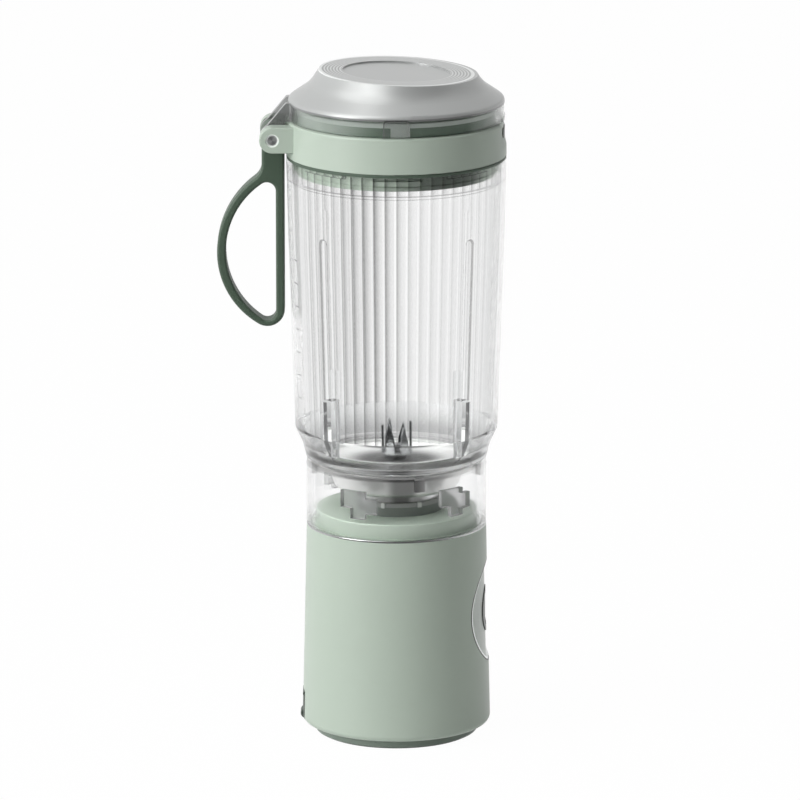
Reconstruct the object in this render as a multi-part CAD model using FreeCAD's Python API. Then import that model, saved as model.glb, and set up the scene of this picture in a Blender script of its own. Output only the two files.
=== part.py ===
"""Cordless personal blender: motor base, clear twist-off jar, lid with flip cap and a carry loop.

Millimetres. The origin is on the jar's axis at the bottom of the foot, +Z up. The power button faces
+X, the lid's hinge, the carry loop and the charging port face -X. An azimuth is in degrees from -Y
towards +X. Writes one STEP file for each piece into parts/.
"""

import FreeCAD
import Part
import math
import os

from FreeCAD import Vector

# ---------------------------------------------------------------- driving dimensions
# motor base
base_radius = 38.0
base_taper = 1.8
base_bottom = 4.2
base_height = 82.8
base_edge = 2.4
base_wall = 2.4
deck_thickness = 2.4
deck_margin = 6.95
seam_width = 2.0
seam_depth = 0.6
seam_proud = 0.15

# foot
foot_inset = 5.1
foot_gap = 0.6
pad_inset = 1.5
pad_width = 4.8
pad_thickness = 1.6
cover_plate = 2.2
post_radius = 2.8
post_height = 11.0
post_azimuths = (45, 135, 225, 315)
screw_seat = 3.4

# neck, motor tower and the dish that floors the jar
neck_margin = 2.05
neck_height = 6.0
neck_plate = 2.4
tower_radius = 19.2
tower_height = 5.6
tower_plate = 2.6
tower_screw_circle = 13.0
tower_screw_azimuths = (0, 120, 240)
dish_margin = 2.45
dish_height = 14.0
dish_wall = 2.6
dish_rim = 2.1
cup_radius = 24.8
cup_step = 3.0
cup_inset = 4.2
dish_seal_width = 2.2
dish_seal_height = 1.05
lip_radius = 4.2
lip_height = 4.0
lock_drop = 6.0
lock_turn = 43.0
lock_half_angle = 3.5
clip_count = 8
clip_phase = -16.3
clip_width = 1.5
clip_low = 2.0
clip_proud = 0.5

# drive
shaft_radius = 1.6
bush_radius = 5.0
motor_gap = 1.45
motor_length = 38.2
motor_wall = 1.0
bell_thickness = 1.6
armature_gap = 1.4
core_margin = 8.0
magnet_margin = 6.0
magnet_thickness = 3.4
bracket_thickness = 2.2
bracket_screw_circle = 9.0
bracket_screw_azimuths = (90, 270)
hub_lift = 0.5
hub_height = 2.2
blade_circle = 5.6
blade_count = 6
blade_phase = -25.0
blade_height = 12.9
blade_sheet = 0.9
nut_height = 2.6

# cells and boards
cell_radius = 9.15
cell_length = 65.0
tray_thickness = 1.8
cup_height = 10.0
cup_wall = 1.1
board_depth = 11.4
board_thickness = 1.6
board_width = 24.0
board_half_height = 16.0
charge_board_width = 18.0
charge_board_height = 24.0
frame_wall = 2.2

# power button in its round panel
button_height = 50.7
panel_radius = 20.1
panel_trim_width = 0.8
panel_inset = 1.2
pocket_depth = 2.4
pad_thickening = 1.8
button_radius = 9.3
button_travel = 1.0
button_proud = 0.4
button_flange = 1.9
flange_thickness = 0.8

# charging port and its rubber cover
port_rise = 6.2
port_width = 9.0
port_thickness = 3.3
flap_half_width = 7.0
flap_rise = 0.7
flap_height = 12.3
flap_proud = 0.1
flap_tab_radius = 2.1
flap_tab_proud = 0.85
flap_tab_half_width = 3.5
flap_depth = 1.9
flap_hinge_radius = 0.9

# jar
jar_gap = 0.4
jar_height = 149.3
jar_wall = 2.2
skirt_overhang = 0.05
skirt_wall = 1.8
shoulder_flare = 1.55
shoulder_rise = 6.65
shoulder_height_above = 6.4
mouth_radius = 44.1
body_inset = 0.8
body_mid_drop = 33.7
seat_width = 2.2
seat_thickness = 1.5
rib_azimuths = (45, 135, 225, 315)
rib_drop = 27.7
rib_width = 4.0
rib_proud = 0.9
fin_height = 16.1
fin_proud = 5.0
lug_azimuths = (-27, 45, 153, 225)
lug_half_angle = 13.5
lug_height = 11.2

# lid
seal_thickness = 1.2
collar_height = 14.5
collar_taper = 0.25
lid_wall = 1.2
plug_margin = 1.7
plug_wall = 3.0
plug_depth = 7.6
plug_spigot = 6.0
plug_lugs = (0, 90, 180, 270)
plug_lug_half_angle = 14.0
plug_lug_proud = 1.3
mouth_lug_half_angle = 16.0
mouth_lug_proud = 1.15
sleeve_thickness = 0.95

# hinge shared by the cap and the carry loop
pin_reach = 5.35
pin_rise = 8.3
pin_radius = 2.1
ear_radius = 5.2
ear_thickness = 6.5
cheek_thickness = 4.0
hinge_gap = 0.2

# flip cap
cap_step = 0.8
cap_band_wall = 1.2
cap_band_height = 6.5
cap_rim_proud = 0.2
cap_rim_width = 1.9
cap_dome_height = 12.5
cap_waist_drop = 5.0
cap_waist_inset = 8.0
cap_edge_inset = 12.0
cap_tilt = 2.26
cap_roof = 3.1
cap_waist_curve = 14.0
cap_hollow_curve = 12.0
cap_disc_inset = 9.5
cap_disc_depth = 0.6
lip_proud = 0.4
front_tab_half_width = 5.2

# latch: a button in a thumb scoop opposite the hinge, and the cap's tongue behind it
scoop_half_angle = 18.0
scoop_rise = 2.4
latch_rise = 7.7
latch_height = 3.9
latch_half_width = 7.5
latch_flange = 1.0
latch_travel = 0.8
tongue_half_width = 4.5

# carry loop
loop_half_width = 4.8
loop_thickness = 3.5
loop_edge = 1.1
loop_plate_reach = 4.4
loop_drop = 48.1
loop_reach = 22.4
loop_upper_radius = 38.0
loop_lower_radius = 33.8
loop_inner_radius = 33.6

# clearances
running = 0.06
slip = 0.12
loose = 0.35
face_gap = 0.05

# ---------------------------------------------------------------- places worked out from them
base_top = base_bottom + base_height
base_top_radius = base_radius - base_taper
seam_inner = base_top_radius - seam_width
deck_underside = base_top - deck_thickness
cover_top = base_bottom + cover_plate
tray_top = cover_top + tray_thickness
foot_radius = base_radius - foot_inset
pad_outer_radius = foot_radius - pad_inset
pad_inner_radius = pad_outer_radius - pad_width
post_circle = (pad_outer_radius + pad_inner_radius) / 2

skirt_radius = base_top_radius + skirt_overhang
skirt_bore = skirt_radius - skirt_wall
deck_hole_radius = skirt_bore - deck_margin
neck_radius = skirt_bore - neck_margin
neck_top = base_top + neck_height
tower_top = neck_top + tower_height
dish_radius = skirt_bore - dish_margin
dish_top = tower_top + dish_height
lock_depth = dish_margin - loose
lock_bottom = dish_top - lock_drop

bracket_bottom = deck_underside - bracket_thickness
motor_bottom = bracket_bottom - motor_length
hub_bottom = dish_top + hub_lift
blade_plate = hub_bottom + hub_height

cell_offset = base_top_radius - base_wall - cell_radius - face_gap
motor_radius = cell_offset - cell_radius - motor_gap
armature_radius = motor_radius - motor_wall - magnet_thickness - armature_gap
well_radius = armature_radius / 4.1
board_distance = base_radius - board_depth
port_height = base_bottom + port_rise
socket_length = board_depth - board_thickness - flap_depth - 0.5
flap_bottom = base_bottom + flap_rise
flap_top = flap_bottom + flap_height
pad_depth = base_wall + pad_thickening
panel_lift = panel_radius + panel_trim_width + slip
flange_inset = pocket_depth + loose
button_inset = panel_inset - button_proud

jar_bottom = base_top + jar_gap
jar_top = jar_bottom + jar_height
seat_height = dish_top + dish_seal_height + 2 * face_gap
seat_radius = dish_radius - seat_width
shoulder_radius = skirt_radius + shoulder_flare
shoulder_height = seat_height + shoulder_rise
body_low_radius = (shoulder_radius + mouth_radius) / 2 - 0.2
body_low_height = shoulder_height + shoulder_height_above
body_mid_radius = mouth_radius - body_inset
body_mid_height = jar_top - body_mid_drop
mouth_bore = mouth_radius - jar_wall
rib_top = jar_top - rib_drop
fin_bottom = shoulder_height - 0.6
fin_top = body_low_height + fin_height
lug_depth = lock_depth
lug_top = lock_bottom - 0.4
lug_bottom = lug_top - lug_height

collar_bottom = jar_top + 2 * face_gap + seal_thickness
collar_top = collar_bottom + collar_height
collar_radius = mouth_radius - 0.05
collar_top_radius = collar_radius - collar_taper
plug_radius = mouth_bore - plug_margin
plug_bottom = collar_bottom - plug_depth
bore_radius = plug_radius - lid_wall
lid_neck_radius = bore_radius + lid_wall
lid_neck_height = cap_band_height - 0.3

pin_x = -(collar_radius + pin_reach)
pin_z = collar_bottom + pin_rise
knuckle_radius = ear_radius - hinge_gap
cheek_inner = loop_half_width + 0.5
cheek_outer = cheek_inner + cheek_thickness
ear_outer = cheek_outer + hinge_gap + ear_thickness

cap_radius = collar_top_radius - cap_step
band_bore = cap_radius - cap_band_wall
cap_rim_radius = cap_radius + cap_rim_proud
cap_rim_height = collar_top + cap_band_height
cap_shoulder_height = cap_rim_height + cap_rim_width
cap_top = cap_rim_height + cap_dome_height
cap_waist_height = cap_top - cap_waist_drop
cap_waist_radius = cap_radius - cap_waist_inset
cap_edge_radius = cap_radius - cap_edge_inset
cap_disc_radius = cap_edge_radius - cap_disc_inset
cap_ceiling = cap_top - cap_roof
cap_slope = (cap_waist_height - cap_shoulder_height) / (cap_rim_radius - cap_waist_radius)

scoop_radius = cap_radius - 0.1
scoop_bottom = collar_bottom + scoop_rise
latch_radius = cap_radius + 0.3
latch_back = band_bore - 0.9
latch_bottom = collar_bottom + latch_rise
latch_top = latch_bottom + latch_height
tongue_bottom = latch_top + loose + face_gap

loop_bar_left = pin_x + 1.2
loop_bar_right = loop_bar_left + loop_thickness
loop_plate_left = pin_x - loop_plate_reach
loop_left = pin_x - loop_reach
loop_middle = pin_z - loop_drop
loop_inner_centre = (loop_left + loop_thickness + 0.1 + loop_inner_radius, loop_middle + 0.6)

# further out and higher than any piece, for cutters
past = 3 * base_radius
over = cap_top + past


# ---------------------------------------------------------------- shape helpers
def outline(corners):
    """A closed face in the XZ plane through (x, z, corner radius) points, each corner rounded."""
    joints = []
    count = len(corners)
    for i, (x, z, radius) in enumerate(corners):
        here = Vector(x, 0, z)
        back = Vector(corners[i - 1][0], 0, corners[i - 1][1]) - here
        on = Vector(corners[(i + 1) % count][0], 0, corners[(i + 1) % count][1]) - here
        back.normalize()
        on.normalize()
        half = back.getAngle(on) / 2
        if radius <= 0 or abs(half - math.pi / 2) < 1e-4:
            joints.append((here, None, here))
            continue
        reach = radius / math.tan(half)
        middle = back + on
        middle.normalize()
        top = here + middle * (radius / math.sin(half) - radius)
        joints.append((here + back * reach, top, here + on * reach))
    edges = []
    for i, (start, top, end) in enumerate(joints):
        if top is not None:
            edges.append(Part.Arc(start, top, end).toShape())
        following = joints[(i + 1) % count][0]
        if (following - end).Length > 1e-6:
            edges.append(Part.LineSegment(end, following).toShape())
    return Part.Face(Part.Wire(edges))


def turned(corners):
    """The solid that an outline sweeps about the Z axis."""
    return outline(corners).revolve(Vector(0, 0, 0), Vector(0, 0, 1), 360)


def bar(corners, y_low, y_high):
    """The solid of an XZ outline between two planes of constant y."""
    solid = outline(corners).extrude(Vector(0, y_high - y_low, 0))
    solid.translate(Vector(0, y_low, 0))
    return solid


def rod(radius, low, high, x=0.0, y=0.0):
    return Part.makeCylinder(radius, high - low, Vector(x, y, low))


def tube(outer, inner, low, high, x=0.0, y=0.0):
    return rod(outer, low, high, x, y).cut(rod(inner, low - 1, high + 1, x, y))


def rod_x(radius, low, high, y, z):
    return Part.makeCylinder(radius, high - low, Vector(low, y, z), Vector(1, 0, 0))


def rod_y(radius, low, high, x, z):
    return Part.makeCylinder(radius, high - low, Vector(x, low, z), Vector(0, 1, 0))


def block(x_low, x_high, y_low, y_high, z_low, z_high):
    size = (x_high - x_low, y_high - y_low, z_high - z_low)
    return Part.makeBox(*size, Vector(x_low, y_low, z_low))


def sector(inner, outer, low, high, azimuth, half_angle):
    """A piece of a ring, half_angle to each side of an azimuth."""
    up = Vector(0, 0, 1)
    piece = Part.makeCylinder(outer, high - low, Vector(0, 0, low), up, 2 * half_angle)
    piece.rotate(Vector(0, 0, 0), up, azimuth - 90 - half_angle)
    return piece.cut(rod(inner, low - 1, high + 1))


def at_azimuth(shape, azimuth):
    """A copy of a shape modelled facing -Y, turned to an azimuth."""
    copy = shape.copy()
    copy.rotate(Vector(0, 0, 0), Vector(0, 0, 1), azimuth)
    return copy


def fused(shapes):
    first, *others = shapes
    return first.multiFuse(others).removeSplitter() if others else first


def grouped(shapes):
    """Separate solids that share one node, such as a set of screws."""
    return Part.makeCompound(shapes)


def rounded(shape, radius, chosen):
    """Fillets the edges for which chosen(edge) is true."""
    return shape.makeFillet(radius, [edge for edge in shape.Edges if chosen(edge)])


def on_plane(edge, axis, value):
    """True for an edge that lies whole in the plane where one coordinate has this value."""
    box = edge.BoundBox
    low = getattr(box, axis + "Min")
    high = getattr(box, axis + "Max")
    return abs(low - value) < 1e-3 and abs(high - value) < 1e-3


def screw(head_radius, head_height, shank_radius, length):
    """A pan-head screw along +Z with its seat at z = 0, the head below and the shank above."""
    head = rounded(rod(head_radius, -head_height, 0), head_height * 0.4, lambda e: on_plane(e, "Z", -head_height))
    slot = block(-0.3, 0.3, -head_radius, head_radius, -head_height - 1, -head_height * 0.6)
    return head.cut(slot).fuse(rod(shank_radius, 0, length))


def placed(shape, x, y, z, upside_down=False):
    copy = shape.copy()
    if upside_down:
        copy.rotate(Vector(0, 0, 0), Vector(1, 0, 0), 180)
    copy.translate(Vector(x, y, z))
    return copy


def polar(radius, azimuth):
    angle = math.radians(azimuth - 90)
    return radius * math.cos(angle), radius * math.sin(angle)


def barrel(inset):
    """The base's outer form, moved inwards by an inset."""
    edge = max(base_edge - inset, 0.4)
    return turned([
        (0, base_bottom + inset, 0),
        (base_radius - inset, base_bottom + inset, edge),
        (base_top_radius - inset, base_top - inset, 0),
        (0, base_top - inset, 0),
    ])


def skin(outer_inset, inner_inset):
    """The layer of the base's side between two insets."""
    low = base_radius - inner_inset
    high = base_top_radius - inner_inset
    core = turned([
        (0, base_bottom - 1, 0),
        (low, base_bottom - 1, 0),
        (low, base_bottom + inner_inset, 0),
        (high, base_top - inner_inset, 0),
        (high, base_top + 1, 0),
        (0, base_top + 1, 0),
    ])
    return barrel(outer_inset).cut(core)


# ---------------------------------------------------------------- motor base
def button_cutter(radius):
    return rod_x(radius, base_radius / 2, base_radius + 5, 0, button_height)


def flap_outline(margin):
    """The charging cover's rounded outline as a prism through the wall at -X."""
    wide = flap_half_width + margin
    prism = block(-base_radius - 5, -base_radius + 10, -wide, wide, flap_bottom - margin, flap_top + margin)
    return rounded(prism, 2.0, lambda e: e.BoundBox.XLength > 5)


def base_shell():
    r_low = base_radius - base_wall
    r_high = base_top_radius - base_wall
    cavity = turned([
        (0, base_bottom - 1, 0),
        (r_low - 0.3, base_bottom - 1, 0),
        (r_low - 0.1, base_bottom + 4, 0),
        (r_high, deck_underside, 1.0),
        (0, deck_underside, 0),
    ])
    shell = barrel(0).cut(cavity)
    button_pad = button_cutter(panel_lift + 1.6).common(skin(base_wall - 0.4, pad_depth))
    port_pad = flap_outline(1.6).common(skin(base_wall - 0.4, pad_depth))
    port_pad = port_pad.cut(block(-past, 0, -past, past, 0, cover_top + face_gap))
    shell = fused([shell, button_pad, port_pad])
    for azimuth in post_azimuths:
        x, y = polar(post_circle, azimuth)
        post = rod(post_radius, cover_top, cover_top + post_height, x, y)
        web = block(-1.0, 1.0, -base_radius + 1, -post_circle, cover_top, cover_top + post_height)
        web = at_azimuth(web, azimuth).common(barrel(base_wall / 2))
        hole = rod(1.2, 0, cover_top + post_height - 1.5, x, y)
        shell = shell.fuse([post, web]).cut(hole)
    shell = shell.cut(button_cutter(panel_lift).common(skin(-1, pocket_depth)))
    shell = shell.cut(button_cutter(button_radius + button_flange + 0.7))
    flap_floor = -base_radius + flap_depth + slip
    recess = flap_outline(loose).common(block(-past, flap_floor, -past, past, 0, over))
    deep = -base_radius + pad_depth + 4
    port = rod_x(port_thickness / 2 + 0.3, -base_radius - 2, deep, 0, 0)
    port_hole = fused([
        placed(port, 0, side * (port_width - port_thickness) / 2, port_height) for side in (-1, 1)
    ] + [block(-base_radius - 2, deep, -(port_width - port_thickness) / 2, (port_width - port_thickness) / 2,
               port_height - port_thickness / 2 - 0.3, port_height + port_thickness / 2 + 0.3)])
    shell = shell.cut(recess).cut(port_hole)
    shell = shell.cut(rod(deck_hole_radius, deck_underside - 1, base_top + 1))
    ring_seat = tube(base_top_radius + 1, seam_inner - slip, base_top - seam_depth, base_top + 1)
    return shell.cut(ring_seat).removeSplitter()


def seam_ring():
    """The bright ring let into the base's top edge, under the jar's skirt."""
    outer = base_top_radius + 0.02
    return turned([
        (seam_inner, base_top - seam_depth, 0),
        (outer, base_top - seam_depth, 0),
        (outer, base_top + seam_proud, 0.3),
        (seam_inner, base_top + seam_proud, 0.2),
    ])


def bottom_cover():
    ring_inner = pad_inner_radius - 2.4
    cover = turned([
        (0, base_bottom - 1.8, 0),
        (ring_inner - 1.2, base_bottom - 1.8, 0),
        (ring_inner, foot_gap, 0.4),
        (foot_radius, foot_gap, 0.9),
        (foot_radius, base_bottom, 0),
        (base_radius - base_wall - 0.3 - slip, base_bottom, 0),
        (base_radius - base_wall - 0.3 - slip, cover_top, 0.4),
        (0, cover_top, 0),
    ])
    cover = cover.cut(tube(pad_outer_radius + slip, pad_inner_radius - slip, 0, pad_thickness))
    for azimuth in post_azimuths:
        x, y = polar(post_circle, azimuth)
        cover = cover.cut(fused([rod(2.3, 0, screw_seat, x, y), rod(1.3, 0, cover_top + 1, x, y)]))
    notch = flap_outline(loose).common(block(-past, -base_radius + 7, -past, past, base_bottom, over))
    return cover.cut(notch)


def foot_pad():
    return turned([
        (pad_inner_radius, 0, 0.5),
        (pad_outer_radius, 0, 0.5),
        (pad_outer_radius, pad_thickness, 0),
        (pad_inner_radius, pad_thickness, 0),
    ])


def bottom_screws():
    one = screw(2.1, 1.5, 1.1, cover_top + post_height - 2.0 - screw_seat)
    return grouped([placed(one, *polar(post_circle, a), screw_seat) for a in post_azimuths])


def neck_boss():
    spigot = deck_hole_radius - slip
    inner = spigot - 2.4
    bore = bush_radius + 2.6
    boss = turned([
        (inner, deck_underside, 0),
        (spigot, deck_underside, 0),
        (spigot, base_top, 0),
        (neck_radius, base_top, 0),
        (neck_radius, neck_top, 0.7),
        (bore, neck_top, 0),
        (bore, neck_top - neck_plate, 0),
        (inner, neck_top - neck_plate, 1.5),
    ])
    for azimuth in tower_screw_azimuths:
        x, y = polar(tower_screw_circle, azimuth)
        boss = boss.cut(rod(1.2, base_top, neck_top + 1, x, y))
    return boss


def tower():
    """The motor tower's drum, on the neck, with the boss that holds the shaft's bush."""
    boss = bush_radius + 2.2
    drum = turned([
        (bush_radius, neck_top + 0.8, 0),
        (boss, neck_top + 0.8, 0),
        (boss, tower_top - tower_plate, 0.6),
        (tower_radius - 2.4, tower_top - tower_plate, 0.8),
        (tower_radius - 2.4, neck_top, 0),
        (tower_radius, neck_top, 0),
        (tower_radius, tower_top, 0.5),
        (bush_radius, tower_top, 0),
    ])
    posts = []
    for azimuth in tower_screw_azimuths:
        x, y = polar(tower_screw_circle, azimuth)
        posts.append(tube(2.8, 1.1, neck_top, tower_top - tower_plate + 0.6, x, y))
    drum = fused([drum] + posts)
    for n in range(clip_count):
        drum = drum.cut(at_azimuth(clip(slip), clip_phase + n * 360 / clip_count))
    return drum


def clip(margin):
    """One light snap tab on the drum's upper edge, facing -Y."""
    half = clip_width / 2 + margin
    low = tower_top - clip_low - margin
    return block(-half, half, -tower_radius - clip_proud, -tower_radius + 1.2 + margin, low, tower_top)


def tower_clips():
    return grouped([at_azimuth(clip(0), clip_phase + n * 360 / clip_count) for n in range(clip_count)])


def tower_screws():
    one = screw(2.1, 1.4, 1.1, neck_plate + tower_height - tower_plate - 0.3)
    seat = neck_top - neck_plate
    return grouped([placed(one, *polar(tower_screw_circle, a), seat) for a in tower_screw_azimuths])


def blade_dish():
    """The dish that floors the jar: a short foot on the tower, a cup, a rim, and four locking blocks."""
    foot = tower_radius - 1.4
    step = tower_top + cup_step
    rim_low = dish_top - dish_rim
    cup_rim = dish_radius - cup_inset
    ceiling = dish_top - 0.9 - dish_wall
    boss = bush_radius + 1.6
    dish = turned([
        (foot - dish_wall, tower_top, 0),
        (foot, tower_top, 0),
        (foot, step, 0.6),
        (cup_radius, step + 0.6, 2.2),
        (cup_rim, rim_low - 0.3, 1.0),
        (dish_radius, rim_low, 0),
        (dish_radius, dish_top, 0.4),
        (dish_radius - 3.2, dish_top, 0.5),
        (dish_radius - 4.6, dish_top - 0.7, 1.0),
        (boss + 3.0, dish_top - 0.9, 2.0),
        (boss, dish_top + 0.2, 0.6),
        (lip_radius, dish_top + 0.2, 0),
        (lip_radius, dish_top - lip_height, 0),
        (shaft_radius + 0.5, dish_top - lip_height, 0),
        (shaft_radius + 0.5, tower_top + 5.0, 0),
        (boss, tower_top + 5.0, 0),
        (boss, ceiling, 1.0),
        (cup_rim - dish_wall - 0.9, ceiling, 1.0),
        (cup_radius - dish_wall, step + dish_wall + 0.4, 1.5),
        (foot - dish_wall, step + dish_wall, 1.0),
    ])
    blocks = [
        sector(dish_radius - 1.0, dish_radius + lock_depth, lock_bottom, dish_top - 0.2,
               azimuth + lock_turn, lock_half_angle)
        for azimuth in lug_azimuths
    ]
    hidden = tube(dish_radius + 5, dish_radius, lock_bottom - 1, rim_low)
    blocks = [
        piece.common(fused([hidden, tube(dish_radius + 5, 10, rim_low, dish_top)])) for piece in blocks
    ]
    return fused([dish] + blocks)


def dish_seal():
    """The ring on the dish's rim that the jar's seat presses on."""
    outer = dish_radius - 0.1
    return turned([
        (outer - dish_seal_width, dish_top + face_gap, 0.2),
        (outer, dish_top + face_gap, 0.2),
        (outer, seat_height - face_gap, 0.3),
        (outer - dish_seal_width, seat_height - face_gap, 0.3),
    ])


def shaft_seal():
    bore = shaft_radius + running
    low = dish_top - lip_height
    return turned([
        (bore, low, 0),
        (lip_radius, low, 0),
        (lip_radius, dish_top - 0.1, 0.3),
        (lip_radius - 1.0, dish_top - 0.1, 0.3),
        (lip_radius - 1.3, low + 1.6, 0.3),
        (bore + 0.8, low + 1.6, 0.2),
        (bore + 0.6, dish_top - 0.5, 0.2),
        (bore, dish_top - 0.5, 0),
    ])


def shaft_bush():
    return tube(bush_radius, shaft_radius + running, neck_top + 0.8, tower_top)


# ---------------------------------------------------------------- motor and rotor
def motor_can():
    top = bracket_bottom
    boss = 4.6
    can = turned([
        (shaft_radius + running, top - 1.5, 0),
        (motor_radius - motor_wall, top - 1.5, 0.5),
        (motor_radius - motor_wall, motor_bottom, 0),
        (motor_radius, motor_bottom, 0),
        (motor_radius, top, 1.0),
        (boss, top, 0),
        (boss, deck_underside + 0.6, 0.4),
        (shaft_radius + running, deck_underside + 0.6, 0),
    ])
    for azimuth in bracket_screw_azimuths:
        x, y = polar(bracket_screw_circle, azimuth)
        can = can.cut(rod(1.0, top - 3, top + 1, x, y))
    return can


def motor_end_bell():
    fit = motor_radius - motor_wall - 0.02
    bell = turned([
        (shaft_radius + running, motor_bottom - bell_thickness - 2.0, 0),
        (shaft_radius + 2.4, motor_bottom - bell_thickness - 2.0, 0.5),
        (shaft_radius + 2.4, motor_bottom - bell_thickness, 0),
        (motor_radius, motor_bottom - bell_thickness, 0.6),
        (motor_radius, motor_bottom, 0),
        (fit, motor_bottom, 0),
        (fit, motor_bottom + 2.0, 0),
        (fit - 2.0, motor_bottom + 2.0, 0),
        (fit - 2.0, motor_bottom, 0),
        (shaft_radius + running, motor_bottom, 0),
    ])
    tab = 0.6 * motor_radius
    tabs = [block(side * tab - 1.2, side * tab + 1.2, -0.4, 0.4,
                  motor_bottom - bell_thickness - 3.4, motor_bottom - bell_thickness + 0.2)
            for side in (-1, 1)]
    return fused([bell] + tabs)


def motor_magnets():
    outer = motor_radius - motor_wall - 0.02
    low = motor_bottom + magnet_margin
    high = bracket_bottom - magnet_margin
    return grouped([
        sector(outer - magnet_thickness, outer, low, high, azimuth, 62.0) for azimuth in (0, 180)
    ])


def armature():
    """The wound core on the shaft, with five slots, and its commutator."""
    low = motor_bottom + core_margin
    high = bracket_bottom - core_margin
    core = rod(armature_radius, low, high)
    for n in range(5):
        slot = block(-0.45 * well_radius, 0.45 * well_radius, -armature_radius - 1,
                     -armature_radius + 0.6 * well_radius, low - 1, high + 1)
        well = rod(well_radius, low - 1, high + 1, 0, -armature_radius + 1.2 * well_radius)
        core = core.cut(at_azimuth(fused([slot, well]), 72 * n))
    commutator = rod(3.2, low - 4.6, low)
    return fused([core, commutator]).cut(rod(shaft_radius, low - 6, high + 1))


def drive_shaft():
    low = motor_bottom - bell_thickness - 1.0
    shaft = rod(shaft_radius, low, blade_plate + blade_sheet)
    stud = rod(shaft_radius - 0.4, blade_plate + blade_sheet, blade_plate + nut_height)
    return fused([shaft, stud])


def motor_bracket():
    plate = tube(deck_hole_radius + 4.6, 4.8, bracket_bottom, deck_underside)
    for azimuth in (0, 90, 180, 270):
        x, y = polar(deck_hole_radius - 8.0, azimuth + 45)
        plate = plate.cut(rod(5.2, bracket_bottom - 1, deck_underside + 1, x, y))
    for azimuth in bracket_screw_azimuths:
        x, y = polar(bracket_screw_circle, azimuth)
        plate = plate.cut(rod(1.2, bracket_bottom - 1, deck_underside + 1, x, y))
    return plate


def bracket_screws():
    one = screw(1.9, 1.2, 0.95, bracket_thickness + 1.4)
    return grouped([
        placed(one, *polar(bracket_screw_circle, a), deck_underside, True) for a in bracket_screw_azimuths
    ])


def blade_hub():
    """The spacer under the blades, on the shaft."""
    return turned([
        (shaft_radius, hub_bottom, 0),
        (3.6, hub_bottom, 0.3),
        (4.4, blade_plate, 0),
        (shaft_radius, blade_plate, 0),
    ])


def blade_prong(height):
    """One upright prong facing -Y: a tapering blade with a ground edge, bent up from the plate."""
    root = blade_plate
    wide = 1.9
    front = Part.makePolygon([
        Vector(-wide, 0, root),
        Vector(wide, 0, root),
        Vector(wide * 0.8, 0, root + 0.45 * height),
        Vector(-wide * 0.25, 0, root + height),
        Vector(-wide * 0.7, 0, root + height * 0.72),
        Vector(-wide, 0, root),
    ])
    prong = Part.Face(front).extrude(Vector(0, blade_sheet, 0))
    prong.translate(Vector(0, -blade_circle - blade_sheet / 2, 0))
    return prong


def blade_cross():
    plate = rod(blade_circle + 0.3, blade_plate, blade_plate + blade_sheet)
    prongs = [
        at_azimuth(blade_prong(blade_height - 1.6 * (n % 2)), blade_phase + n * 360 / blade_count)
        for n in range(blade_count)
    ]
    cross = fused([plate] + prongs)
    return cross.cut(rod(shaft_radius, blade_plate - 1, blade_plate + 3))


def blade_nut():
    across = 2.9
    points = []
    for n in range(7):
        angle = math.radians(60 * n)
        points.append(Vector(across * math.cos(angle), across * math.sin(angle), blade_plate + blade_sheet))
    nut = Part.Face(Part.makePolygon(points)).extrude(Vector(0, 0, nut_height))
    crown = turned([
        (0, blade_plate, 0),
        (3.4, blade_plate, 0),
        (3.4, blade_plate + blade_sheet + nut_height - 1.0, 0),
        (1.6, blade_plate + blade_sheet + nut_height + 0.6, 0.8),
        (0, blade_plate + blade_sheet + nut_height + 0.6, 0),
    ])
    stud = rod(shaft_radius - 0.4, blade_plate - 1, blade_plate + nut_height)
    return nut.common(crown).cut(stud)


# ---------------------------------------------------------------- cells, boards and button
def battery_cells():
    cells = []
    for side in (-1, 1):
        body = rounded(rod(cell_radius, tray_top, tray_top + cell_length - 0.8, 0, side * cell_offset),
                       0.6, lambda e: e.BoundBox.ZLength < 1e-3)
        nub = rod(2.8, tray_top + cell_length - 0.8, tray_top + cell_length, 0, side * cell_offset)
        cells.append(fused([body, nub]))
    return grouped(cells)


def battery_cradle():
    """The frame that stands on the bottom cover and carries the cells and both boards."""
    parts = [rod(base_radius - base_wall - 1.0, cover_top, tray_top)]
    wall_top = tray_top + cell_length - 6.0
    for side in (-1, 1):
        parts.append(rod(cell_radius + slip + cup_wall, cover_top, tray_top + cup_height, 0, side * cell_offset))
        low = side * board_distance
        high = side * (board_distance - frame_wall)
        parts.append(block(min(low, high), max(low, high), -board_width / 2, board_width / 2,
                           cover_top, wall_top))
    shelf_low = motor_bottom - 9.0
    parts.append(block(-board_distance, board_distance, -11, 11, shelf_low, shelf_low + 2.2))
    cradle = fused(parts)
    for side in (-1, 1):
        cradle = cradle.cut(rod(cell_radius + slip, tray_top, base_top, 0, side * cell_offset))
    for azimuth in post_azimuths:
        x, y = polar(post_circle, azimuth)
        cut_out = rod(post_radius + loose, cover_top - 1, tray_top + 1, x, y)
        gap = block(-1.5, 1.5, -base_radius, -post_circle, cover_top - 1, tray_top + 1)
        cradle = cradle.cut([cut_out, at_azimuth(gap, azimuth)])
    clearance = flap_outline(2.2).common(block(-past, -board_distance, -past, past, 0, over))
    return cradle.cut(clearance)


def control_board():
    board = block(board_distance, board_distance + board_thickness, -board_width / 2, board_width / 2,
                  button_height - board_half_height, button_height + board_half_height)
    face = board_distance + board_thickness
    parts = [board]
    for rise in (-0.75 * board_half_height, 0.55 * board_half_height):
        z = button_height + rise
        parts.append(block(face, face + 1.4, -0.3 * board_width, -0.1 * board_width, z, z + 4))
    return fused(parts)


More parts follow.
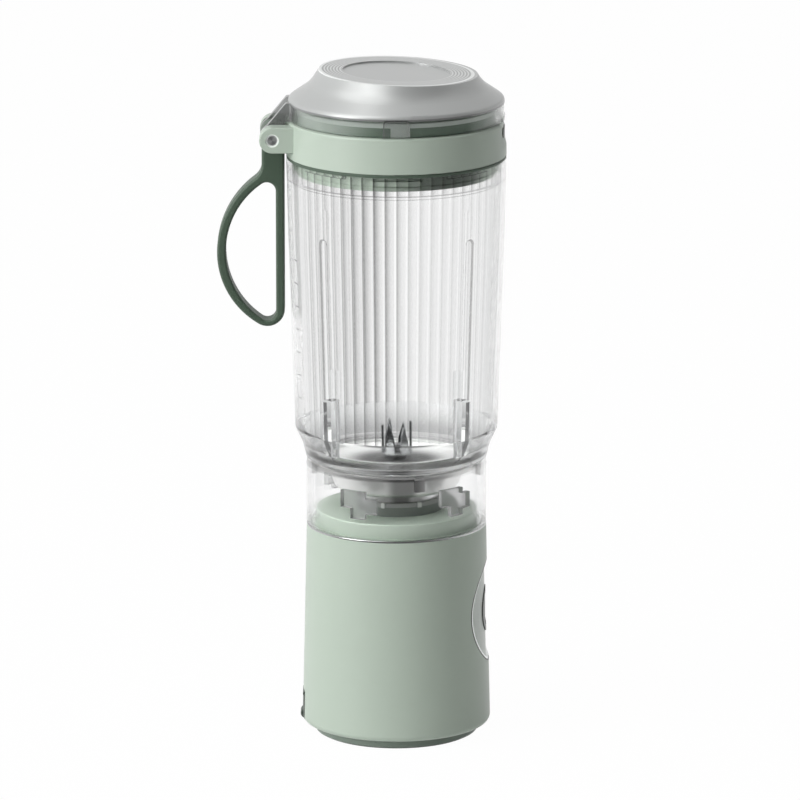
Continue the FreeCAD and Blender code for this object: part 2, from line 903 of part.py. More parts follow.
def button_switch():
    face = board_distance + board_thickness
    body = block(face, face + 3.2, -3, 3, button_height - 3, button_height + 3)
    back = radius_at(button_height) - flange_inset - flange_thickness - 0.1
    tip = back - button_travel - slip
    return fused([body, rod_x(1.7, face + 3.2, tip, 0, button_height)])


def radius_at(height):
    """The base's outer radius at a height on its taper."""
    share = (height - base_bottom) / (base_top - base_bottom)
    return base_radius + share * (base_top_radius - base_radius)


def button_panel():
    panel = button_cutter(panel_radius).common(skin(panel_inset, pocket_depth))
    return panel.cut(button_cutter(button_radius + loose))


def panel_trim():
    ring = button_cutter(panel_radius + panel_trim_width).common(skin(0.3, pocket_depth))
    return ring.cut(button_cutter(panel_radius))


def power_button():
    face = button_cutter(button_radius).common(skin(button_inset, flange_inset + flange_thickness))
    flange = button_cutter(button_radius + button_flange).common(
        skin(flange_inset, flange_inset + flange_thickness))
    dimple = rod_x(button_radius - 2.2, radius_at(button_height) - button_inset - 0.35, past, 0, button_height)
    return fused([face, flange]).cut(dimple)


# ---------------------------------------------------------------- charging port
def charge_board():
    x_low = -board_distance - board_thickness
    half = charge_board_width / 2
    return block(x_low, -board_distance, -half, half, tray_top, tray_top + charge_board_height)


def usb_socket():
    """The metal charging socket on its board, open towards -X."""
    back = -board_distance - board_thickness

    def oblong(width, thickness, low, high):
        half = (width - thickness) / 2
        return fused([
            rod_x(thickness / 2, low, high, -half, port_height),
            rod_x(thickness / 2, low, high, half, port_height),
            block(low, high, -half, half, port_height - thickness / 2, port_height + thickness / 2),
        ])

    shell = oblong(port_width, port_thickness, back - socket_length, back)
    shell = shell.cut(oblong(port_width - 0.7, port_thickness - 0.7, back - socket_length - 1, back - 1.0))
    tongue = block(back - socket_length + 0.6, back - 1.0, -0.35 * port_width, 0.35 * port_width, port_height - 0.35, port_height + 0.35)
    return fused([shell, tongue])


def flap_hinge():
    return -base_radius + 1.0, flap_top - flap_hinge_radius - 0.3


def usb_cover():
    """The rubber cover: a curved plate with a finger tab, and the roll at its top that it turns on."""
    x, z = flap_hinge()
    floor = -base_radius + flap_depth
    sheet = barrel(-flap_proud).common(block(-past, floor, -past, past, 0, over))
    plate = flap_outline(0).common(sheet)
    plate = plate.cut(block(-past, 0, -past, past, z, over))
    roll = rod_y(flap_hinge_radius, -flap_half_width + 1, flap_half_width - 1, x, z)
    wide = flap_tab_half_width
    tab = rod_y(flap_tab_radius, -wide, wide, flap_tab_radius - flap_tab_proud - base_radius,
                flap_bottom + flap_tab_radius)
    tab = rounded(tab, 0.7, lambda e: e.BoundBox.YLength < 1e-3)
    tab = tab.common(block(-past, -base_radius + 1.2, -wide, wide, 0, over))
    tongue = rod_x(1.0, floor - 0.2, floor + 1.1, 0, 0)
    half = (port_width - port_thickness) / 2 - 0.2
    plug = [placed(tongue, 0, side * half, port_height) for side in (-1, 1)]
    plug.append(block(floor - 0.2, floor + 1.1, -half, half, port_height - 1.0, port_height + 1.0))
    return fused([plate, roll, tab] + plug)


# ---------------------------------------------------------------- jar
def jar_body():
    wall_low = body_low_radius - jar_wall
    wall_mid = body_mid_radius - jar_wall
    return turned([
        (skirt_bore, jar_bottom, 0.3),
        (skirt_radius, jar_bottom, 0.5),
        (skirt_radius, seat_height - 1.8, 6.0),
        (shoulder_radius, shoulder_height, 6.0),
        (body_low_radius, body_low_height, 6.0),
        (body_mid_radius, body_mid_height, 0),
        (mouth_radius, jar_top, 0.6),
        (mouth_bore, jar_top, 0.5),
        (wall_mid, body_mid_height, 0),
        (wall_low, body_low_height + 2.0, 6.0),
        (shoulder_radius - 2.6, shoulder_height - 0.6, 5.0),
        (seat_radius, seat_height + seat_thickness, 0.5),
        (seat_radius, seat_height, 0.3),
        (skirt_bore, seat_height, 0),
    ])


def wall_radius(height, inside):
    """The jar wall's radius at a height above its shoulder, inside or outside."""
    share = (height - body_low_height) / (body_mid_height - body_low_height)
    outer = body_low_radius + share * (body_mid_radius - body_low_radius)
    if height > body_mid_height:
        share = (height - body_mid_height) / (jar_top - body_mid_height)
        outer = body_mid_radius + share * (mouth_radius - body_mid_radius)
    return outer - jar_wall if inside else outer


def jar_rib():
    """One inner rib facing -Y: a low band up the wall, and a deep fin that meets the shoulder."""
    sink = 1.0
    low = wall_radius(fin_bottom + 6, True)
    mid = wall_radius(fin_top, True)
    high = wall_radius(rib_top, True)
    side = Part.makePolygon([
        Vector(0, -high - sink, rib_top),
        Vector(0, -high + 0.1, rib_top),
        Vector(0, -high + rib_proud, rib_top - 3.0),
        Vector(0, -mid + rib_proud, fin_top),
        Vector(0, -mid + fin_proud, fin_top - 0.8),
        Vector(0, -low + fin_proud, fin_bottom + 5.0),
        Vector(0, -low + fin_proud + 0.6, fin_bottom + 2.4),
        Vector(0, -seat_radius - 3.4, fin_bottom - 1.2),
        Vector(0, -shoulder_radius + 1.3, fin_bottom - 0.2),
        Vector(0, -low - sink, fin_bottom + 6.0),
        Vector(0, -high - sink, rib_top),
    ])
    rib = Part.Face(side).extrude(Vector(rib_width, 0, 0))
    rib.translate(Vector(-rib_width / 2, 0, 0))
    return rib


def jar_lug():
    """One locking lug inside the skirt, facing -Y: a stepped block with an entry ramp."""
    inner = skirt_bore - lug_depth
    outer = skirt_bore + 0.6
    step = lug_half_angle / 3
    return fused([
        sector(inner, outer, lug_bottom, lug_top, 0, step * 1.2),
        sector(inner, outer, lug_bottom + 4.2, lug_top, -lug_half_angle + 1.3 * step, 1.3 * step),
        sector(inner, outer, lug_bottom + 2.4, lug_top - 2.6, lug_half_angle - step, step),
    ])


def jar():
    body = jar_body()
    ribs = [at_azimuth(jar_rib(), azimuth) for azimuth in rib_azimuths]
    lugs = [at_azimuth(jar_lug(), azimuth) for azimuth in lug_azimuths]
    inner = mouth_bore - mouth_lug_proud
    stops = [
        sector(inner, mouth_bore + 0.8, jar_top - 1.7, jar_top - 0.3, azimuth + 45, mouth_lug_half_angle)
        for azimuth in plug_lugs
    ]
    return fused([body] + ribs + lugs + stops)


# ---------------------------------------------------------------- lid
def lid_seal():
    low = jar_top + face_gap
    inner = mouth_bore - 0.9
    return turned([
        (inner, low, 0.2),
        (mouth_radius - 0.15, low, 0.3),
        (mouth_radius - 0.15, low + seal_thickness, 0.3),
        (inner, low + seal_thickness, 0.2),
    ])


def lid_collar():
    """The lid's ring with its drinking neck, its two hinge ears and the notch under the thumb tab."""
    ring = turned([
        (bore_radius, collar_bottom, 0),
        (collar_radius, collar_bottom, 0.4),
        (collar_top_radius, collar_top, 1.0),
        (lid_neck_radius, collar_top, 0),
        (lid_neck_radius, collar_top + lid_neck_height, 0.5),
        (bore_radius, collar_top + lid_neck_height, 0.4),
    ])
    ears = []
    for side in (-1, 1):
        y_low = min(side * ear_outer, side * (ear_outer - ear_thickness))
        arm = block(pin_x, pin_x + pin_reach + 4, y_low, y_low + ear_thickness, pin_z - ear_radius, pin_z + ear_radius)
        ear = fused([rod_y(ear_radius, y_low, y_low + ear_thickness, pin_x, pin_z), arm])
        outer_face = side * ear_outer
        ears.append(rounded(ear, 0.5, lambda e: on_plane(e, "Y", outer_face)))
    collar = fused([ring] + ears).cut(thumb_scoop()).cut(latch_pocket())
    collar = collar.cut(rod_y(pin_radius + 0.02, -past, past, pin_x, pin_z))
    for side in (-1, 1):
        ends = sorted((side * (ear_outer - 0.5), side * (ear_outer + 1)))
        collar = collar.cut(rod_y(pin_radius + 0.6, *ends, pin_x, pin_z))
    return collar


def thumb_scoop():
    """The hollow in the collar's side that a thumb reaches the latch through."""
    hollow = turned([
        (scoop_radius, latch_bottom + 1.0, 9.0),
        (collar_radius + 0.4, scoop_bottom, 0),
        (collar_radius + 4.0, scoop_bottom, 0),
        (collar_radius + 4.0, collar_top + 1.0, 0),
        (scoop_radius, collar_top + 1.0, 0),
    ])
    return hollow.common(sector(bore_radius / 2, past, scoop_bottom - 1, collar_top + 2, 90, scoop_half_angle))


def latch_pocket():
    back = latch_back - latch_travel - slip
    wide = latch_half_width + slip
    slot = block(back, past, -wide, wide, latch_bottom - slip, latch_top + slip)
    wide = latch_half_width + latch_flange + slip
    groove = block(back, latch_back + 0.8 + slip, -wide, wide, latch_bottom - slip, latch_top + slip)
    wide = tongue_half_width + loose
    gate = block(back, past, -wide, wide, latch_top, collar_top + 1)
    return fused([slot, groove, gate])


def latch_button():
    """The latch's button: a curved face, the flange that keeps it in, and the bead behind the tongue."""
    wide = latch_half_width
    face = block(latch_back, past, -wide, wide, latch_bottom, latch_top)
    face = rounded(face, 1.2, lambda e: e.BoundBox.XLength > 10)
    face = face.common(rod(latch_radius, latch_bottom, latch_top))
    wide += latch_flange
    flange = block(latch_back, latch_back + 0.8, -wide, wide, latch_bottom, latch_top)
    wide = tongue_half_width - 0.5
    riser = block(latch_back, latch_back + 0.7, -wide, wide, latch_top - 1, collar_top - 1.0)
    bead = rod_y(0.3, -wide, wide, latch_back + 0.65, collar_top - 1.4)
    return fused([face, flange, riser, bead])


def lid_plug():
    """The ring that reaches into the jar's mouth, with four lugs that turn under the jar's stops."""
    inner = plug_radius - plug_wall
    ring = turned([
        (inner, plug_bottom, 0.5),
        (plug_radius - 1.6, plug_bottom, 0.4),
        (plug_radius - 1.6, plug_bottom + 2.4, 0),
        (plug_radius, plug_bottom + 2.4, 0),
        (plug_radius, collar_bottom, 0),
        (bore_radius - 0.02, collar_bottom, 0),
        (bore_radius - 0.02, collar_bottom + plug_spigot, 0.5),
        (inner, collar_bottom + plug_spigot, 0.4),
    ])
    low = plug_bottom + 2.6
    lugs = [
        sector(plug_radius - 0.8, plug_radius + plug_lug_proud, low, low + 1.9, azimuth, plug_lug_half_angle)
        for azimuth in plug_lugs
    ]
    return fused([ring] + lugs)


def plug_gasket():
    low = plug_bottom + 0.2
    return turned([
        (plug_radius - 1.58, low, 0),
        (plug_radius - 0.3, low, 0.4),
        (plug_radius + 0.2, low + 1.6, 0.3),
        (plug_radius - 0.2, plug_bottom + 2.38, 0),
        (plug_radius - 1.58, plug_bottom + 2.38, 0),
    ])


def neck_sleeve():
    """The silicone sleeve on the lid's neck that the cap closes over."""
    low = collar_top + face_gap
    high = collar_top + lid_neck_height - 0.4
    outer = lid_neck_radius + 0.05 + sleeve_thickness
    return turned([
        (lid_neck_radius + 0.05, low, 0),
        (outer, low, 0.3),
        (outer - 0.5, high, 0.4),
        (lid_neck_radius + 0.05, high, 0),
    ])


def hinge_pin():
    reach = ear_outer - 0.5
    pin = rod_y(pin_radius, -reach, reach, pin_x, pin_z)
    return rounded(pin, 0.3, lambda e: e.BoundBox.YLength < 1e-3)


# ---------------------------------------------------------------- flip cap and carry loop
def tilted_slab(radius, low, high):
    """A disc-shaped cutter on the cap's tilted top plane, between two heights over that plane."""
    slab = rod(radius, low, high)
    slab.rotate(Vector(0, 0, 0), Vector(0, 1, 0), cap_tilt)
    slab.translate(Vector(0, 0, cap_top))
    return slab


def cap_dome():
    low = collar_top + 0.2
    waist_in = cap_waist_radius - 0.8
    top = cap_top + 3
    edge_r = cap_waist_radius - (top - cap_waist_height) / 1.5
    dome = turned([
        (band_bore, low, 0),
        (cap_radius, low, 0.3),
        (cap_radius, cap_rim_height, 0),
        (cap_rim_radius, cap_rim_height, 0.15),
        (cap_rim_radius, cap_shoulder_height, 2.0),
        (cap_waist_radius, cap_waist_height, cap_waist_curve),
        (edge_r, top, 0),
        (0, top, 0),
        (0, cap_ceiling, 0),
        (cap_edge_radius - 1.0, cap_ceiling, 1.0),
        (waist_in, cap_rim_height + 0.3 + cap_slope * (band_bore - waist_in), cap_hollow_curve),
        (band_bore, cap_rim_height + 0.2, 0.8),
    ])
    dome = dome.cut(tilted_slab(past, 0, past))
    return dome.cut(tilted_slab(cap_disc_radius, -cap_disc_depth, 5))


def cap_cheek(side):
    """One arm of the cap's fork, from the dome's rim down to the knuckle on the hinge pin."""
    y_low, y_high = sorted((side * cheek_inner, side * cheek_outer))
    reach = knuckle_radius - 0.3
    arm = bar([
        (pin_x - 0.62 * reach, pin_z + 0.78 * reach, 0),
        (-cap_rim_radius - 0.9, cap_rim_height + 1.0, 1.0),
        (-cap_rim_radius + 2.2, cap_rim_height + 1.2, 0),
        (-cap_rim_radius + 2.2, collar_top + 0.3, 0),
        (-cap_rim_radius - 1.3, collar_top + 0.3, 1.0),
        (pin_x + reach, pin_z + 1.0, 0),
        (pin_x, pin_z, 0),
    ], y_low, y_high)
    return fused([arm, rod_y(knuckle_radius, y_low, y_high, pin_x, pin_z)])


def cap():
    """The clear flip cap: the dome, its hinge fork, the latch's tongue and a small tab at the front."""
    wide = tongue_half_width
    tongue = block(cap_radius - 0.8, past, -wide, wide, tongue_bottom, collar_top + 0.6)
    bead = rod_y(0.3, -wide, wide, cap_radius - 0.6, tongue_bottom + 0.3)
    tongue = tongue.common(rod(cap_radius, collar_bottom, over)).fuse(bead)
    lip = sector(cap_radius - 0.5, cap_radius + lip_proud, collar_top + 0.3, collar_top + 1.5, 90, 13.0)
    front = block(-front_tab_half_width, front_tab_half_width, -cap_radius - 0.45, -cap_radius + 0.6,
                  collar_top + 0.3, cap_rim_height + 0.9)
    front = rounded(front, 0.9, lambda e: e.BoundBox.YLength > 0.9 and e.BoundBox.ZMin > collar_top + 1)
    arms = []
    hollow = rod(band_bore, collar_top - 5, cap_rim_height + 0.4)
    for side in (-1, 1):
        arms.append(cap_cheek(side).cut(hollow))
    whole = fused([cap_dome(), tongue, lip, front] + arms)
    return whole.cut(rod_y(pin_radius + running, -past, past, pin_x, pin_z))


def cap_gasket():
    """The ring under the dome that closes on the lid's neck."""
    outer = lid_neck_radius + 0.4
    inner = bore_radius - 1.4
    low = collar_top + lid_neck_height + 0.25

    def roof(radius):
        return cap_rim_height + 0.2 + cap_slope * (band_bore - radius) - face_gap

    return turned([
        (inner, low, 0.3),
        (outer, low, 0.3),
        (outer, roof(outer), 0),
        (inner, roof(inner), 0),
    ])


def carry_loop():
    """The D-shaped loop that hangs on the hinge pin."""
    x_in, z_in = loop_inner_centre
    half = loop_half_width
    middle = loop_middle
    upper = rod_y(loop_upper_radius, -half, half, loop_left + loop_upper_radius, middle)
    upper = upper.common(block(-past, loop_bar_right, -half, half, middle, over))
    lower = rod_y(loop_lower_radius, -half, half, loop_left + loop_lower_radius, middle)
    lower = lower.common(block(-past, loop_bar_right, -half, half, 0, middle))
    plate = block(loop_plate_left, loop_bar_right, -half, half, middle + 10, pin_z)
    hole = rod_y(loop_inner_radius, -half - 1, half + 1, x_in, z_in)
    hole = hole.common(block(-past, loop_bar_left, -half - 1, half + 1, 0, over))
    hole = rounded(hole, 3.6, lambda e: abs(e.BoundBox.YLength - 2 * half - 2) < 1e-3 and e.BoundBox.XLength < 1e-3)
    body = fused([upper, lower, plate]).cut(hole)
    body = rounded(body, 7.0, lambda e: abs(e.BoundBox.YLength - 2 * half) < 1e-3
                   and e.BoundBox.XLength < 1e-3 and e.BoundBox.ZMin < middle
                   and abs(e.BoundBox.XMin - loop_bar_right) < 1e-3)
    body = rounded(body, 7.0, lambda e: abs(e.BoundBox.YLength - 2 * half) < 1e-3
                   and e.BoundBox.XLength < 1e-3 and abs(e.BoundBox.XMin - loop_plate_left) < 1e-3
                   and e.BoundBox.ZMin < pin_z - 5)
    body = body.cut(block(-past, past, -half - 1, half + 1, pin_z - 4.0, over))
    for side in (-half, half):
        body = rounded(body, loop_edge, lambda e: on_plane(e, "Y", side) and e.BoundBox.ZMin < pin_z - 5)
    body = fused([body, block(loop_plate_left, pin_x + 1, -half, half, pin_z - 4.5, pin_z - 1)])
    body = body.cut(block(-past, 0, -half - 1, half + 1, pin_z, over))
    knuckle = rod_y(knuckle_radius, -half, half, pin_x, pin_z)
    body = body.cut(block(pin_x + 1, 0, -half - 1, half + 1, pin_z - 0.5, over))
    body = fused([body, knuckle])
    return body.cut(rod_y(pin_radius + running, -past, past, pin_x, pin_z))


PIECES = {
    "base_shell": base_shell,
    "seam_ring": seam_ring,
    "bottom_cover": bottom_cover,
    "foot_pad": foot_pad,
    "bottom_screws": bottom_screws,
    "neck_boss": neck_boss,
    "tower_drum": tower,
    "tower_clips": tower_clips,
    "tower_screws": tower_screws,
    "blade_dish": blade_dish,
    "dish_seal": dish_seal,
    "shaft_seal": shaft_seal,
    "shaft_bush": shaft_bush,
    "motor_can": motor_can,
    "motor_end_bell": motor_end_bell,
    "motor_magnets": motor_magnets,
    "motor_bracket": motor_bracket,
    "bracket_screws": bracket_screws,
    "armature": armature,
    "drive_shaft": drive_shaft,
    "blade_hub": blade_hub,
    "blade_cross": blade_cross,
    "blade_nut": blade_nut,
    "battery_cells": battery_cells,
    "battery_cradle": battery_cradle,
    "control_board": control_board,
    "button_switch": button_switch,
    "charge_board": charge_board,
    "usb_socket": usb_socket,
    "button_panel": button_panel,
    "panel_trim": panel_trim,
    "power_button": power_button,
    "usb_cover": usb_cover,
    "jar": jar,
    "lid_seal": lid_seal,
    "lid_collar": lid_collar,
    "lid_plug": lid_plug,
    "plug_gasket": plug_gasket,
    "neck_sleeve": neck_sleeve,
    "hinge_pin": hinge_pin,
    "latch_button": latch_button,
    "cap": cap,
    "cap_gasket": cap_gasket,
    "carry_loop": carry_loop,
}


def main():
    os.makedirs("parts", exist_ok=True)
    for name, build in PIECES.items():
        shape = build()
        shape.exportStep("parts/" + name + ".step")
        print(name, "solids", len(shape.Solids), "volume", round(shape.Volume, 1), "valid", shape.isValid())


main()
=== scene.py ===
"""Looks for a cordless personal blender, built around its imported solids.

Metres. The origin is on the jar's axis at the bottom of the foot, +Z up. The power button faces +X,
the lid's hinge, the carry loop and the charging port face -X. An azimuth runs from -Y towards +X.
"""

import math

import bpy
import numpy as np
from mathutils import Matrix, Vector


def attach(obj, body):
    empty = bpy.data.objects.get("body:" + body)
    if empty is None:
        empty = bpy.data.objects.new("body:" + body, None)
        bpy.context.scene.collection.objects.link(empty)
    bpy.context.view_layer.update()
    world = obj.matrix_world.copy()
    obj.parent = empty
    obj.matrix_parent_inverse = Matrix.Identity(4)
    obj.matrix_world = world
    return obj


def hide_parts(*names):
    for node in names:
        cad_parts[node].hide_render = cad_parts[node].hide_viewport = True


bl_info = {
    "name": "Personal Blender Looks",
    "version": (1, 0, 0),
    "blender": (4, 5, 0),
    "location": "View3D > Sidebar > Personal Blender",
    "description": "Builds the finishes, clear parts and studio of a cordless personal blender",
    "category": "Object",
}

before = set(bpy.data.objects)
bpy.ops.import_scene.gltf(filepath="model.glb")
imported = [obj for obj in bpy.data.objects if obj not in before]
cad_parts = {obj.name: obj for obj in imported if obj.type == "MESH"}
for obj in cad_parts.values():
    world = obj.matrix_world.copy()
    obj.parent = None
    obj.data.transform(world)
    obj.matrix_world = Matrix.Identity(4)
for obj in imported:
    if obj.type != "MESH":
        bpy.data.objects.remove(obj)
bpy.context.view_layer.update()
MM = 0.001
DEGREES = 180 / math.pi

# ---------------------------------------------------------------- the jar's shape, in mm and degrees
# The skirt's inner radius, and the section's corners: radius, height and the radius of the rounding.
BORE = 34.45
JAR_CORNERS = (
    (BORE, 87.4, 0.3), (36.25, 87.4, 0.5), (36.25, 111.4, 0.12), (36.02, 111.65, 0.12), (36.1, 114.6, 0.12),
    (36.42, 114.85, 0.12), (37.75, 120.4, 6.0), (40.75, 126.8, 3.0),
    (43.3, 203.0, 0), (44.1, 236.7, 0.6), (41.9, 236.7, 0.5), (41.1, 203.0, 0), (38.5, 126.9, 0.6),
    (35.2, 119.8, 5.0), (29.8, 115.25, 0.5), (29.8, 113.75, 0.3), (BORE, 113.75, 0),
)
WALL_HEIGHTS, WALL_RADII = (120.0, 126.9, 203.0, 236.7), (35.3, 38.5, 41.1, 41.9)
SKIRT_TOP, SHOULDER_TOP = 113.8, 126.85

# The turn between the points of an arc, and the angle over which an edge stays sharp.
ARC_STEP, SHARP_ANGLE = 9.0, 28.0

# How far outside the inner wall a point still belongs to it, and how far a face's middle does; and how
# far past the ends of a fin or a lug a face still takes its finish.
POINT_REACH, FACE_REACH = 0.6, 1.1
FACE_SLACK = 0.08

# The inner wall's flutes, and the window that has none: its azimuth and its half width.
FLUTES = 56
FLUTE_PITCH = 360 / FLUTES
FLUTE_PHASE = FLUTE_PITCH / 2
FLUTE_LOW, FLUTE_HIGH = 127.3, 232.6
FLUTE_COLUMNS = 7
WINDOW = (-90.0, 27.0)

# A rib's half width is measured at RIB_RADIUS low on the wall and at RIB_RADIUS_TOP near the mouth. Its
# side slopes over the share RIB_SLOPE of the half width. A fin stands at the foot of each rib.
RIBS = (45.0, 135.0, 225.0, 315.0)
RIB_HALF, RIB_TOP, RIB_PROUD, RIB_SLOPE = 2.0, 209.0, 0.9, 0.3
RIB_RADIUS, RIB_RADIUS_TOP = 38.0, 41.0
RIB_LOW = 124.6
FIN_TOP, FIN_LOW, FIN_PROUD, FIN_INNER = 142.9, 118.6, 5.0, 33.6

# Locking lugs inside the skirt, each of three patches: azimuths from and to, bottom and top.
LUGS = (-27.0, 45.0, 153.0, 225.0)
LUG_EDGES = (-13.5, -5.4, 5.4, 13.5)
LUG_TOP = 106.2
LUG_PATCHES = (
    (*LUG_EDGES[0:2], 99.2, LUG_TOP),
    (*LUG_EDGES[1:3], 95.0, LUG_TOP),
    (*LUG_EDGES[2:4], 97.4, 103.6),
)
LUG_PROUD = 2.1

# Stops in the mouth, one over each rib.
STOP_HALF, STOP_LOW, STOP_HIGH, STOP_PROUD = 16.0, 235.0, 236.15, 1.15

# Heights of the plain rows, and the spacing of the close ones over the flutes' and the ribs' round tops.
PLAIN_ROWS = (132, 150, 159, 168, 177, 186, 195, 215, 224)
FLUTE_TOP_SPAN, FLUTE_TOP_ROW, RIB_TOP_ROW = 2.2, 0.3, 0.25

# The two sides of a step lie this far from its edge. Rows are kept clear of the ends of their straight
# run, which has none if it is short, and columns are kept clear of each other.
SHARP_STEP = 0.02
ROW_CLEARANCE, SHORT_RUN = 0.05, 1.0
COLUMN_CLEARANCE = 0.015

# ---------------------------------------------------------------- where tones change, in metres and degrees
# The hinge pin's axis, its bevel, which has a painted highlight, the painted highlight ring round it, and
# the edge of the side that the hinge is on.
PIN_X, PIN_Z = -0.0494, 0.2463
PIN_BEVEL = 0.00172
PIN_GLINT_RADIUS, PIN_GLINT_HALF = 0.00235, 0.00035
PIN_GLINT_TONE = (0.86, 0.9, 0.86, 1.0)
HINGE_SIDE = -0.0415

# The line round the power panel, the neck's top, which has painted light, the drum's band, and where the
# plug's painted shade darkens and pales.
PANEL_HEIGHT, PANEL_EDGE, PANEL_LINE_HALF = 0.0507, 0.0213, 0.0003
NECK_TOP = max(vertex.co.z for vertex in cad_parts["neck_boss"].data.vertices) - 0.0003
DRUM_BAND = 0.0968
PLUG_DARKENS, PLUG_PALES = (-0.018, 0.02), (0.028, 0.04)

# The sleeve's upper edge, the patch at its front, and where the painted light on its left side ends and on
# its right begins.
SLEEVE_EDGE, SLEEVE_PATCH = 0.2563, (-0.0023, 0.0054)
SLEEVE_LEFT, SLEEVE_RIGHT = (-0.034, -0.006), (0.03, 0.041)

# The dish: the radii between which its floor pales, its cup's top, and the azimuths of the cup's painted
# dark reflection.
DISH_PALES, CUP_TOP = (0.0125, 0.024), 0.1115
CUP_DARKENS, CUP_PALES = (-12.0, 0.0), (13.0, 22.0)

# The row of graduation strokes on the jar, the thin rings under its mouth, and the veil over its skirt.
STROKE_PITCH, STROKE_HEIGHTS, STROKE_AZIMUTHS = 0.0094, (0.136, 0.198), (-71.5, -66.5)
OUTER_RING, OUTER_RING_HALF = 0.2292, 0.0002
INNER_RINGS, INNER_RING_HALF = (0.2289, 0.2276), 0.00022
SEAT_HEIGHTS, SEAT_THINS = (0.1114, 0.1139), (-5.0, 35.0)

# The flutes: their heights, the azimuths over which they begin, and those over which their painted shade is
# weaker at the far left and stronger on the hinge side. Then the front ribs' painted dark outline.
FLUTE_HEIGHTS, FLUTES_BEGIN = (0.1268, 0.2362), (-64.0, -62.0)
FAR_LEFT, HINGE_HALF = (-38.0, -26.0), (-16.0, 10.0)
RIB_LINE, RIB_ARCH_HALF, RIB_LINE_HALF = 0.0018, 0.00035, 0.00025
RIB_LINE_FOOT, RIB_LINE_RADIUS = 0.128, 0.041

# The shoulder: the heights over which it clears, and the azimuths and the heights of its painted dark
# spots.
SHOULDER_CLEARS = (0.1145, 0.1275)
SIDE_SPOTS, FRONT_SPOT = 51.5, 2.0
SPOTS_BEGIN, SPOTS_END = (0.1148, 0.1162), (0.1172, 0.1208)

# The cap: the span and pitch of its grooves, where its outer groove's painted highlight begins, its cone's
# foot and its front tab.
GROOVES, GROOVE_PITCH, GROOVE_LOW, GROOVE_HIGHLIGHT = (0.0222, 0.0312), 0.00125, 0.2655, 0.0299
DOME_FOOT, DOME_LINE, DOME_EDGE = 0.2593, 0.2601, 0.04325
TAB_HALF, TAB_HEIGHT, TAB_CORNER, TAB_LINE_HALF = 0.0034, 0.2578, 0.0016, 0.00022

# ---------------------------------------------------------------- studio
# The camera: focal length and frame in pixels, sensor in millimetres, then degrees and metres.
CAMERA_FOCAL, CAMERA_FRAME, CAMERA_SENSOR = 7918.0, 800, 36
CAMERA_ELEVATION = 13.29
CAMERA_DISTANCE = 3.186
CAMERA_TARGET = 0.1368
CAMERA_SIDE = 0.00143
CAMERA_REACH = 50

# The floor's half size and how white it glows, where floor and sky brighten from front to back in
# reflections, the sky's light on the blender, and the darkest level that reflections see.
FLOOR_HALF, FLOOR_WHITE = 4.0, 0.985
FLOOR_BRIGHTENS, SKY_BRIGHTENS = (-0.22, 0.08), (-0.3, 0.25)
WORLD_LEVEL = 0.22
ROOM_LEVEL = 0.15

# Each lamp's name, place, size, watts and spread in degrees.
WIDE = 180
LAMPS = (
    ("key", (-1.89, -1.12, 0.88), (1.2, 1.6), 34.5, WIDE),
    ("front", (-1.0, -1.3, 2.1), (1.2, 1.2), 11.0, WIDE),
    ("fill", (1.9, -1.0, 0.7), (1.0, 1.6), 1.0, WIDE),
    ("top", (-0.8, -0.2, 1.8), (1.3, 1.3), 12.0, WIDE),
    ("inner", (0.0, 0.0, 0.226), (0.05, 0.05), 0.045, 70),
)
LAMP_TARGET = (0, 0, 0.1)


# ---------------------------------------------------------------- node materials
class Value:
    """A shader socket that takes part in Python arithmetic; each operator adds a Math node."""

    def __init__(self, tree, socket):
        self.tree = tree
        self.socket = socket

    def math(self, operation, *others, clamp=False):
        return computed(self.tree, operation, (self, *others), clamp)

    def flipped(self, operation, other):
        return computed(self.tree, operation, (other, self))

    def __add__(self, other):
        return self.math("ADD", other)

    __radd__ = __add__

    def __mul__(self, other):
        return self.math("MULTIPLY", other)

    __rmul__ = __mul__

    def __sub__(self, other):
        return self.math("SUBTRACT", other)

    def __rsub__(self, other):
        return self.flipped("SUBTRACT", other)

    def __truediv__(self, other):
        return self.math("DIVIDE", other)

    def __pow__(self, other):
        return self.math("POWER", other)

    def __rpow__(self, other):
        return self.flipped("POWER", other)

    def __lt__(self, other):
        return self.math("LESS_THAN", other)

    def __gt__(self, other):
        return self.math("GREATER_THAN", other)

    def absolute(self):
        return self.math("ABSOLUTE")

    def clipped(self):
        """No less than 0 and no more than 1."""
        return self.math("ADD", 0.0, clamp=True)

    def between(self, low, high):
        """1 between two bounds, and 0 elsewhere."""
        return (self > low) * (self < high)

    def near(self, place, half):
        """1 within half of a place, and 0 elsewhere."""
        return (self - place).absolute() < half

    def spot(self, place, full, none):
        """1 within full of a place, 0 beyond none of it, and a smooth step between."""
        return 1.0 - (self - place).absolute().ramp(full, none)

    def ramp(self, low, high):
        """0 below low, 1 above high, and a smooth step between."""
        made = add_node(self.tree, "MapRange", {"interpolation_type": "SMOOTHSTEP"},
                        Value=self, From_Min=low, From_Max=high)
        return Value(self.tree, made.outputs[0])


def computed(tree, operation, values, clamp=False):
    """The result of a Math node on Values and numbers."""
    inputs = {f"i{n}": value for n, value in enumerate(values)}
    made = add_node(tree, "Math", {"operation": operation, "use_clamp": clamp}, **inputs)
    return Value(tree, made.outputs[0])


def add_node(tree, kind, settings=None, **inputs):
    """Any node: its type, its settings, which are set first, and the values or links of its inputs."""
    made = tree.nodes.new("ShaderNode" + kind)
    for key, value in (settings or {}).items():
        setattr(made, key, value)
    fill(tree, made, inputs)
    return made


def fill(tree, node, inputs):
    """Feeds a node's inputs, each named by its own name with _ for a space, or by i and its number."""
    for key, value in inputs.items():
        name = int(key[1:]) if key[1:].isdigit() else key.replace("_", " ")
        feed(tree, node.inputs[name], value)


def feed(tree, socket, value):
    """Links a socket to a Value or to another socket, or writes a number or colour on it."""
    if isinstance(value, Value):
        tree.links.new(value.socket, socket)
    elif isinstance(value, bpy.types.NodeSocket):
        tree.links.new(value, socket)
    else:
        socket.default_value = value


